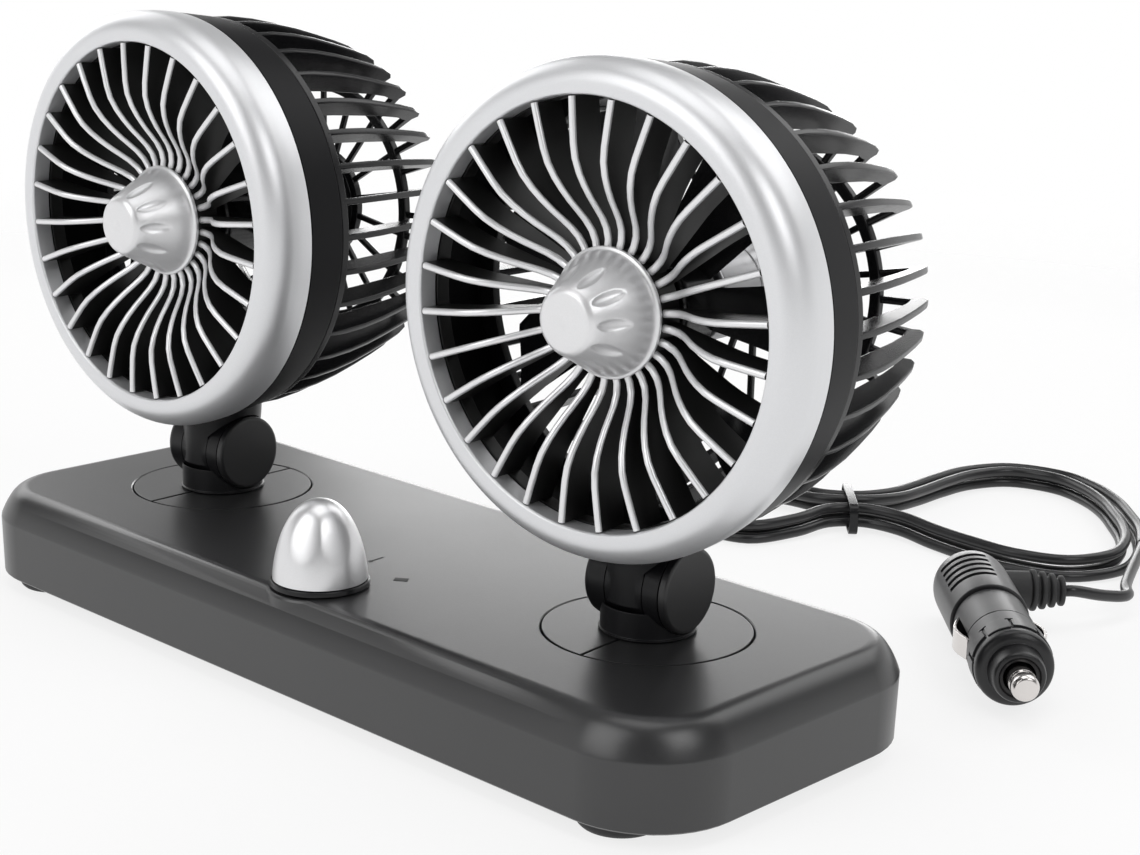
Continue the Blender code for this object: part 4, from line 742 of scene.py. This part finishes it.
# Fan heads: depths run back from the opening
bezelSettings = {
    "lip": mm((50.9, 0.8, 0.3), (51.3, 0.2, 0.3)), "rollFrom": (0.0532, 0.0002),
    "roll": (0.0062, 0.0074), "steps": 14,
    "sleeve": mm((59.4, 10.4, 2), (59, 14.2, 0.3), (57, 14.2, 0.2), (56.6, 8, 2), (54.6, 2.6, 1),
        (52.4, 2.4, 0.2), (52.3, 6, 0.2), (50.9, 6, 0.2)),
    "housing": mm((58.9, 14.5, 0.2), (57.4, 26.8, 0.4), (55.2, 26.8, 0.2), (56.7, 14.5, 0.2))}


def addBezel(side, at):
    z = bezelSettings
    (radius, depth), (wide, deep) = z["rollFrom"], z["roll"]
    turns = [pi * k / (2 * z["steps"]) for k in range(z["steps"] + 1)]
    roll = [(radius + wide * sin(a), depth + deep * (1 - cos(a)), 0) for a in turns]
    profile, head = z["lip"] + roll + z["sleeve"], side + "_head"
    turnPiece(side + "Bezel", profile, 0.0003, "bezel", head, side + "_bezel", at, 192, True, sharp=50)
    turnPiece(side + "Housing", z["housing"], 0.0002, "housing", head, side + "_housing", at, 192, True)


grilleSettings = {
    "vanes": 28, "thick": 0.0017, "rear": 0.0104, "rearSlope": (0.0385, 0.0235, 0.0062),
    "swell": (0.12, 0.024, 0.01),
    "nose": ((-1, 0.001), (-1, 0.0006), (-0.72, 0.0002), (-0.3, 0), (0.3, 0), (0.72, 0.0002),
             (1, 0.0006), (1, 0.001)),
    "front": mm((15, 10.4), (17, 10.8), (19.5, 10.4), (22, 9.1), (24.5, 7.2), (27, 5.2), (30, 3.2),
        (33, 1.6), (36.5, 0.4), (40, 0.1), (45.5, 0.3), (50.6, 0.6)),
    "ring": mm((50.5, 6.3), (52.9, 6.3), (52.9, 10.5), (50.5, 10.5)),
    "hubRing": mm((0, 10.3), (15.3, 10.3), (15.3, 17.3), (13.3, 17.3), (13.3, 12.3), (0, 12.3))}


def addGrille(side, at):
    g = grilleSettings
    bm = bmesh.new()
    half = g["thick"] / 2
    slopeFrom, slopeRun, slopeDeep = g["rearSlope"]
    swell, swellFrom, swellRun = g["swell"]
    for angle in around(g["vanes"]):
        turn = rotate(pi / 2 + pi / g["vanes"] + angle)
        rows = []
        for r, d in g["front"]:
            rear = g["rear"] + max(0, slopeFrom - r) / slopeRun * slopeDeep
            wide = half * (1 + swell * max(0, (swellFrom - r) / swellRun))
            nose = [(wide * y, d + z) for y, z in g["nose"]]
            section = [(-half * 0.8, rear), *nose, (half * 0.8, rear)]
            rows.append([bm.verts.new(turn @ Vector((r, y, z))) for y, z in section])
        count = len(rows[0])
        for a, b in zip(rows, rows[1:]):
            for n in range(count):
                m = (n + 1) % count
                face = bm.faces.new((a[n], a[m], b[m], b[n]))
                face.material_index = int(0 < n < count - 2)  # the rim is silver
        bm.faces.new(rows[0][::-1])
        bm.faces.new(rows[-1])
    lathe(bm, soften(g["ring"], 0.0002, True), 168, True)
    lathe(bm, soften(g["hubRing"], 0.0003))
    makePiece(side + "Grille", bm, "vaneSide", side + "_head", side + "_front_grille", at, 50, second="vane")


hubSettings = {
    "flutes": 10, "sink": 0.0007, "fluteMid": -0.0011, "fluteHalf": 0.0037, "fluteWide": 0.0015, "steps": 240,
    "tip": (0.0009, 0.0004),
    "shape": mm((0, -6.7), (5.8, -6.6), (7.6, -5.9), (8.7, -4.4), (10.1, -1.6), (11.8, 1.8), (13.3, 5),
        (14.3, 7.6), (14.9, 8.6), (15.6, 9), (15.7, 9.6), (15.5, 10))}


def flute(angle, r, z, h):  # how far the flutes sink the nose
    pitch = 2 * pi / h["flutes"]
    across = ((angle + pitch / 2) % pitch - pitch / 2) * r
    run = (z - h["fluteMid"]) / h["fluteHalf"]
    width = h["fluteWide"] * sqrt(max(0, 1 - run * run))
    if width <= 1e-6 or abs(across) >= width:
        return 0
    return h["sink"] * (1 - (across / width) ** 2) ** 0.75 * (1 - run * run) ** 0.4


def addHub(side, at):
    h = hubSettings
    tipRadius, tipHigh = h["tip"]
    angles = around(h["steps"])
    bm = bmesh.new()
    rings = []
    for r, z in openCurve([Vector(p) for p in h["shape"]]):
        bump = tipHigh * max(0, 1 - (r / tipRadius) ** 2)
        rings.append(ring(bm, z - bump, [(a, max(r - flute(a, r, z, h), 0)) for a in angles]))
    skin(bm, rings)
    bmesh.ops.remove_doubles(bm, verts=rings[0], dist=1e-5)
    bm.faces.new(rings[-1])
    makePiece(side + "HubCap", bm, "hub", side + "_head", side + "_hub_cap", at, sharp=60)


cageSettings = {
    "fins": 36, "thick": 0.0018, "edge": 0.0004,
    "outer": mm((57.1, 28.5), (57.1, 35), (56.2, 43), (54.7, 51), (52.7, 59), (50.5, 67), (48.6, 73),
        (47, 76.3), (45.5, 77)),
    "inner": mm((44.2, 75.2), (35.3, 72.1), (35.3, 70.3), (44, 72.2), (45.8, 68), (47.4, 60), (48.7, 50),
        (49.9, 40), (50.7, 28.5)),
    "frontRing": mm((50.3, 27.1), (57.1, 27.1), (57.1, 29.5), (50.3, 29.5)),
    "rearRing": mm((34, 70), (37, 70), (37, 72.4), (34, 72.4)),
    "spoke": mm((15.5, 70.1), (34.6, 70.3), (34.6, 71.9), (15.5, 71.9)),
    "cup": mm((0, 69.7), (12.5, 69.7, 0), (12.5, 64.7), (14.1, 64.7), (14.1, 69.7), (16.5, 69.7),
        (16.5, 72.1, 0.6), (6, 72.1, 0.2), (5.5, 71.7, 0.2), (0, 71.7))}


def addCage(side, at):
    c = cageSettings
    bm = bmesh.new()
    half, pitch = c["thick"] / 2, 2 * pi / c["fins"]
    for n in range(c["fins"]):
        slab(bm, c["outer"] + c["inner"], -half, half, rotate(pitch * n) @ upright, bevel=c["edge"])
    lathe(bm, soften(c["frontRing"], 0.0003, True), 144, True)
    lathe(bm, soften(c["rearRing"], 0.0005, True), 144, True)
    for n in range(1, c["fins"], 2):
        slab(bm, c["spoke"], -half * 0.9, half * 0.9, rotate(pitch * n) @ upright, bevel=c["edge"])
    lathe(bm, soften(c["cup"], 0.0003))
    makePiece(side + "Cage", bm, "cage", side + "_head", side + "_rear_cage", at, sharp=45)


motorSettings = {
    "vents": 6, "vent": 0.0013, "ventAt": 0.0082, "ventDepth": (0.038, 0.0416),
    "can": mm((0, 48.4), (1.5, 48.4, 0), (1.5, 38.9, 0), (5, 38.9), (5, 40.4), (11.4, 40.4, 0.8),
        (12.2, 41.2, 0.6), (12.2, 52), (11.9, 52.2, 0.1), (11.9, 56, 0.1), (12.2, 56.2), (12.2, 69.4),
        (0, 69.4))}


def addMotor(side, at):
    m = motorSettings
    places = [rotate(angle) @ shift(m["ventAt"], 0, 0) for angle in around(m["vents"])]
    vents = [(cut, rod(m["vent"], *m["ventDepth"], place, 24)) for place in places]
    can = carve(roundMesh(soften(m["can"], 0.0002)), vents)
    makePiece(side + "Motor", can, "steel", side + "_head", side + "_motor", at)


fanSettings = {
    "blades": 7, "hub": 0.014, "tip": 0.047, "thick": 0.0011, "front": 0.0215, "length": 0.013,
    "chord": (0.015, 0.025), "pitch": (radians(42), radians(24)), "sunk": 0.0012, "tipFrom": (0.8, 0.21),
    "camber": 1 / 12, "stations": 14, "chords": 12,
    "hubShape": mm((0, 21.5), (12.8, 21.5, 1.2), (14, 22.7, 1), (14, 34.5), (1.5, 34.5, 0), (1.5, 22.7, 0),
        (0, 22.7))}


def bladePoint(f, share, across, lift):  # share runs from the hub to the tip, across from edge to edge
    root = f["hub"] - f["sunk"]
    r = root + (f["tip"] - f["hub"] + f["sunk"]) * share
    chord, pitch = (f[key][0] + (f[key][1] - f[key][0]) * share for key in ("chord", "pitch"))
    chord *= sqrt(max(0, 1 - max(0, (share - f["tipFrom"][0]) / f["tipFrom"][1]) ** 2 * 0.5))
    along = across * chord / 2
    thin = f["thick"] * lift * sqrt(max(0, 1 - across ** 4))
    angle = along * cos(pitch) / r
    height = along * sin(pitch) + (1 - across ** 2) * chord * f["camber"] + thin
    return Vector((r * cos(angle), r * sin(angle), height))


def addImpeller(side, at):
    f = fanSettings
    bm = bmesh.new()
    shares = [i / (f["stations"] - 1) for i in range(f["stations"])]
    chord = [2 * j / (f["chords"] - 1) - 1 for j in range(f["chords"])]
    for angle in around(f["blades"]):
        turn = shift(0, 0, f["front"] + f["length"] / 2) @ rotate(angle)
        skins = [[[bm.verts.new(turn @ bladePoint(f, share, across, lift)) for across in chord]
                  for share in shares] for lift in (-0.5, 0.5)]
        for rows in [*skins, [skins[0][-1], skins[1][-1]]]:
            for a, b in zip(rows, rows[1:]):
                for j in range(len(chord) - 1):
                    bm.faces.new((a[j], a[j + 1], b[j + 1], b[j]))
    bmesh.ops.remove_doubles(bm, verts=bm.verts, dist=1e-6)
    lathe(bm, soften(f["hubShape"], 0.0003))
    makePiece(side + "Impeller", bm, "fan", side + "_fan", side + "_impeller", at, sharp=50)


for side in ("left", "right"):
    addTurntable(side)
    addKnuckle(side)
    for add in (addBezel, addGrille, addHub, addCage, addMotor, addImpeller):
        add(side, headPlace(side))
    print(side, "head done")


# Plug, boot, gland and tie: heights run from the plug's rear to its tip
plugSettings = {
    "body": 0.0112, "bodyLength": 0.0385, "barrel": 0.0104, "barrelLength": 0.026,
    "bodyShape": mm((0, 0), (7, 0.7, 4), (9.9, 2.8, 3), (11.2, 7, 4), (11.2, 38.5), (0, 38.5)),
    "grooves": 5, "grooveStart": 0.0098, "groovePitch": 0.0043, "grooveWide": 0.0022, "grooveTurn": 1.96,
    "grooveSpan": 0.66, "grooveDeep": 0.0011, "bootHole": (0.0059, 0.0076, 0.0166),
    "slotHalf": 0.0033, "slotLength": 0.017, "slotDeep": 0.0066,
    "bow": 0.0022, "strip": 0.0009, "stripHalf": 0.003,
    "fingers": 9, "fingerTurn": 0.25, "fingerRadius": 0.0109, "fingerLength": 0.007, "fingerIn": 0.0098,
    "seams": ((0.00045, 0.008), (0.0011, 0.0014)),
    "barrelRear": mm((0, 0), (9.8, 0, 0), (9.8, 0.6, 0), (10.4, 0.8)),
    "barrelFront": mm((10.4, -7.2, 0.1), (10.1, -7, 0.1), (10.1, -6.6, 0.1), (10.5, -6.4, 0.1), (10.5, 0),
        (0, 0)),
    "noseLength": 0.0172, "tipEnd": 0.02525, "noseRear": mm((0, 0), (9.6, 0, 0)),
    "shoulder": mm((9.6, -2.6, 0), (10, -2.6, 0), (10, 0.2, 0.1), (10.6, 0.4), (10.6, 3, 1.4), (8.8, 4, 0.6),
        (7.6, 4.1)),
    "nose": mm((7, -0.3, 1.6), (5.7, 0), (5.2, -0.8), (4.3, -1, 0.2), (4.3, -11, 0), (0, -11)),
    "tip": mm((0, 0), (3, 0, 0.6), (3.7, -1.2, 0.6), (3.7, -3.4), (3.3, -3.8), (3.3, -4.6), (3.7, -5),
        (3.7, -15.5, 0), (0, -15.5))}


def addPlug(s):
    p = plugSettings
    at = plugPlace(s)
    body, length, wide = p["body"], p["bodyLength"], p["barrel"]
    shell = roundMesh(soften(p["bodyShape"], 0.0005, steps=8))
    turns = [p["grooveTurn"] + (k / 12 - 1) * p["grooveSpan"] for k in range(25)]
    band = arcBand(body - p["grooveDeep"], body + 0.001, turns)
    starts = [p["grooveStart"] + n * p["groovePitch"] for n in range(p["grooves"])]
    toBoot = shift(0, 0, s["bootAt"]) @ alongX
    steps = [(cut, plank(band, z, z + p["grooveWide"])) for z in starts]
    steps.append((cut, rod(*p["bootHole"], toBoot, 48)))
    makePiece("plugShell", carve(shell, steps), "plugShell", "base", "plug_body", at, sharp=32, bevel=0.0002)
    low = length + gap
    high = low + p["barrelLength"]
    barrel = roundMesh(soften(lifted(p["barrelRear"], low) + lifted(p["barrelFront"], high), 0.0002))
    start = low + (p["barrelLength"] - p["slotLength"]) * 0.6
    slots = []
    for way in (-1, 1):
        left, right = sorted((way * (wide + 0.003), way * p["slotDeep"]))
        slots.append((cut, block(left, right, p["slotHalf"], start - gap, start + p["slotLength"] + gap)))
    makePiece("plugBarrel", carve(barrel, slots), "plugShell", "base", "plug_barrel", at, sharp=32)
    for name, way in (("near", -1), ("far", 1)):
        bm = bmesh.new()
        strip = [(way * (wide + p["bow"] * sin(pi * k / 20)), start + p["slotLength"] * k / 20)
                 for k in range(21)]
        back = [(x - way * p["strip"], z) for x, z in strip[::-1]]
        slab(bm, strip + back, -p["stripHalf"], p["stripHalf"], upright, bevel=0.0002)
        makePiece("plugSpring" + name.title(), bm, "nickel", "contact_" + name, "plug_contact_" + name,
                  at, 45)
    addNose(high + gap, at)
    addBoot(s, at @ toBoot)


def addNose(low, at):
    p = plugSettings
    shoulder = low + p["fingerLength"]
    inner, outer, pitch = p["fingerIn"], p["fingerRadius"], 2 * pi / p["fingers"]
    bm = bmesh.new()
    edges = [(inner, low), (outer, low), (outer, shoulder), (inner, shoulder)]
    lathe(bm, soften(edges, 0.0002, True), 96, True)
    cuts = []
    for n in range(p["fingers"]):
        turn = n * pitch + p["fingerTurn"]
        for wide, end in p["seams"]:  # seam between two fingers, and the notch at its rear
            cuts.append((wide / outer, turn, 0.0101, low - 0.001, low + end))
        if n % 2:  # every second finger is shorter
            cuts.append((pitch / 2, turn + pitch / 2, 0.0103, shoulder - 0.0012, shoulder + 0.001))
    tools = [(cut, plank(arcBand(deep, 0.0125, [turn + (k / 6 - 1) * half for k in range(13)]), start, end))
             for half, turn, deep, start, end in cuts]
    fingers = carve(newMesh(bm), tools)
    makePiece("plugFingers", fingers, "plugShell", "base", None, at, sharp=32)
    nose = lifted(p["noseRear"], low) + lifted(p["shoulder"], shoulder)
    nose += lifted(p["nose"], low + p["noseLength"])
    turnPiece("plugNose", nose, 0.0003, "plugNose", "base", "plug_nose", at, fine=6, sharp=40)
    turnPiece("plugTip", lifted(p["tip"], low + p["tipEnd"]), 0.0001, "nickel", "plug_tip", "plug_tip", at,
              sharp=40)


bootSettings = {
    "foot": 0.0079, "root": 0.0056, "neck": 0.005, "start": 0.006, "pitch": 0.0028, "ribs": 4, "taper": 0.09,
    "wide": 0.0062, "narrow": 0.0043, "rib": (0, 0.0014), "groove": (0.0016, 0.0026), "end": 0.003}
glandSettings = {
    "inside": mm((0, -5.1), (5.8, -5.1), (5.8, -3.5), (4.4, -3.5, 0)), "root": 0.0044, "end": 0.0029,
    "start": 0.0016, "length": 0.018, "ribs": 4, "ribOut": 0.0006, "ribIn": 0.0003}


def ribbed(start, pitch, radii, rib, groove):  # radii of each rib and groove, where both start and end
    profile = []
    for n, (wide, narrow) in enumerate(radii):
        profile += [(wide, start + n * pitch + z, 0.0005) for z in rib]
        profile += [(narrow, start + n * pitch + z, 0.0004) for z in groove]
    return profile


def addBoot(s, at):
    b = bootSettings
    low, high, root, end = b["foot"], s["plugRadius"], b["root"], s["plugRadius"] + s["bootLength"]
    shares = [1 - b["taper"] * n for n in range(b["ribs"])]
    radii = [(b["wide"] * share, b["narrow"] * share) for share in shares]
    ribs = ribbed(high + b["start"], b["pitch"], radii, b["rib"], b["groove"])[:-2]
    turnPiece("plugBoot", [
        (0, low), (root, low, 0), (root, high + root, 0.0004), (b["neck"], high + b["start"]), *ribs,
        (b["end"], end), (0, end)],
        0.0003, "rubber", "base", "plug_boot", at, 72, fine=3, sharp=45)


def addGland():
    g = glandSettings
    pitch = (g["length"] - g["start"]) / g["ribs"]
    radii = [g["root"] + (g["end"] - g["root"]) * (n + 1) / g["ribs"] for n in range(g["ribs"])]
    ribs = ribbed(g["start"], pitch, [(r + g["ribOut"], r - g["ribIn"]) for r in radii], (0, pitch * 0.5),
                  (pitch * 0.62, pitch * 0.9))
    turnPiece("cordGland", [*g["inside"], *ribs, (g["end"], g["length"], 0.0004), (0, g["length"])],
              0.0003, "rubber", "base", "cord_gland", glandPlace, 72, fine=3, sharp=45)


def addTie(s, thick=0.001, half=0.0015):
    turns = max(s["pointsIn"], s["pointsOut"]) / s["perLoop"]
    halfWidth = turns * s["step"] + s["waist"] + s["diameter"] / 2 + 2 * gap
    height = s["layer"] + s["diameter"] + 2 * gap
    corner = s["diameter"] / 2 + gap
    outer = roundedBox(2 * (halfWidth + thick), height + 2 * thick, corner + thick, 8)
    inner = roundedBox(2 * halfWidth, height, corner, 8)
    bm = bmesh.new()
    rims = [[[bm.verts.new((x, y, z)) for x, y in edge] for edge in (outer, inner)] for z in (-half, half)]
    (outLow, inLow), (outHigh, inHigh) = rims
    for i in range(len(outer)):
        bm.faces.new((outLow[i - 1], outLow[i], outHigh[i], outHigh[i - 1]))
        bm.faces.new((inLow[i], inLow[i - 1], inHigh[i - 1], inHigh[i]))
        for out, within in rims:
            bm.faces.new((out[i - 1], out[i], within[i], within[i - 1]))
    place = shift(*s["hankAt"], thick + height / 2 + gap) @ rotate(s["heading"] + pi / 2) @ upright
    return makePiece("hankTie", bm, "cage", "base", "hank_tie", place, bevel=0.0003)


addPlug(cordSettings)
addGland()
tie = addTie(cordSettings)
print("plug and cord done")

# What stays as the CAD has it gets its finish here
kept = {side + part: "steel" for side in ("left", "right")
        for part in ("_swivel_retainer", "_pivot_pin", "_motor_shaft")}
kept["switch_body"] = "plate"
for node, finish in kept.items():
    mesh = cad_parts[node].data
    mesh.materials.clear()
    mesh.materials.append(looks[finish])

# Floor, world and soft lights; a lamp is its place, its width and height, and its watts
lightSettings = {
    "horizon": 1, "zenith": 0.22, "front": 0.35, "toward": (0.689, -0.725), "floorGlow": 0.8,
    "floor": (0.94, 0.94, 0.94), "floorFade": (0.55, 1.05), "floorRadius": 1.2, "floorMid": 0.08,
    "skyFall": (0.13, 0.45), "facing": (-0.35, 0.55), "above": (0.02, 0.22), "aim": (0, 0.03, 0.06),
    "lamps": [((-0.3, -1.5, 1.15), (1.3, 1.3), 13), ((1.5, -0.2, 1.3), (0.9, 0.9), 8),
              ((-0.92, 1.31, 0.26), (0.9, 0.38), 4.6), ((0.25, 1.1, 1.1), (1.1, 1), 6),
              ((-1.6, 0.3, 0.9), (1, 1), 6), ((0, 0, 1.7), (1.2, 1.2), 7.5)]}


def addFloor(s):
    mesh = plank(arc(s["floorRadius"], around(120), 0, s["floorMid"]), -0.002, 0)
    board = Board(bpy.data.materials.new("floorPaper"))
    board.surface(Base_Color=board.blend(board.noise(160, 4), *shades(s["floor"], 0.985, 1)), Roughness=0.9)
    away = board.node("ShaderNodeVectorMath", {"operation": "LENGTH"}, {0: board.place()}, output="Value")
    clear = board.node("ShaderNodeBsdfTransparent")
    seen = 0
    for ray in ("Is Camera Ray", "Is Glossy Ray", "Is Transmission Ray"):
        seen = seen + board.node("ShaderNodeLightPath", output=ray)
    glow = board.node("ShaderNodeEmission", None, {"Color": (1, 1, 1), "Strength": 1})
    paper = Wire(board, board.shader.outputs[0])
    lit = board.node("ShaderNodeMixShader", None, {0: seen * s["floorGlow"], 1: paper, 2: glow})
    both = board.node("ShaderNodeMixShader", None, {0: board.smooth(away, *s["floorFade"]), 1: lit, 2: clear})
    board.feed(board.tree.nodes["Material Output"].inputs["Surface"], both)
    mesh.materials.append(board.owner)
    newObject("floor", mesh)


def addWorld(s):
    bpy.context.scene.world = bpy.data.worlds.new("studio")
    sky = Board(bpy.context.scene.world)
    way = sky.node("ShaderNodeTexCoord", output="Generated")
    height = sky.node("ShaderNodeSeparateXYZ", None, {0: way}, output="Z")
    toward = (*s["toward"], 0)
    ahead = sky.node("ShaderNodeVectorMath", {"operation": "DOT_PRODUCT"}, {0: way, 1: toward}, "Value")
    bright = sky.smooth(height, *s["skyFall"], s["horizon"], s["zenith"])
    facing, above = sky.smooth(ahead, *s["facing"]), sky.smooth(height, *s["above"])
    bright = bright * (1 - facing * above * (1 - s["front"]))
    sky.feed(sky.tree.nodes["World Output"].inputs["Surface"],
             sky.node("ShaderNodeBackground", None, {"Color": (1, 1, 1), "Strength": bright}))


def addLamps(s):
    for n, (spot, size, power) in enumerate(s["lamps"]):
        lamp = bpy.data.lights.new("softLamp%d" % n, "AREA")
        lamp.shape = "RECTANGLE"
        lamp.size, lamp.size_y = size
        lamp.energy = power
        made = newObject(lamp.name, lamp)
        made.location = spot
        made.rotation_mode = "QUATERNION"
        made.rotation_quaternion = (Vector(s["aim"]) - Vector(spot)).to_track_quat("-Z", "Y")


addFloor(lightSettings)
addWorld(lightSettings)
addLamps(lightSettings)
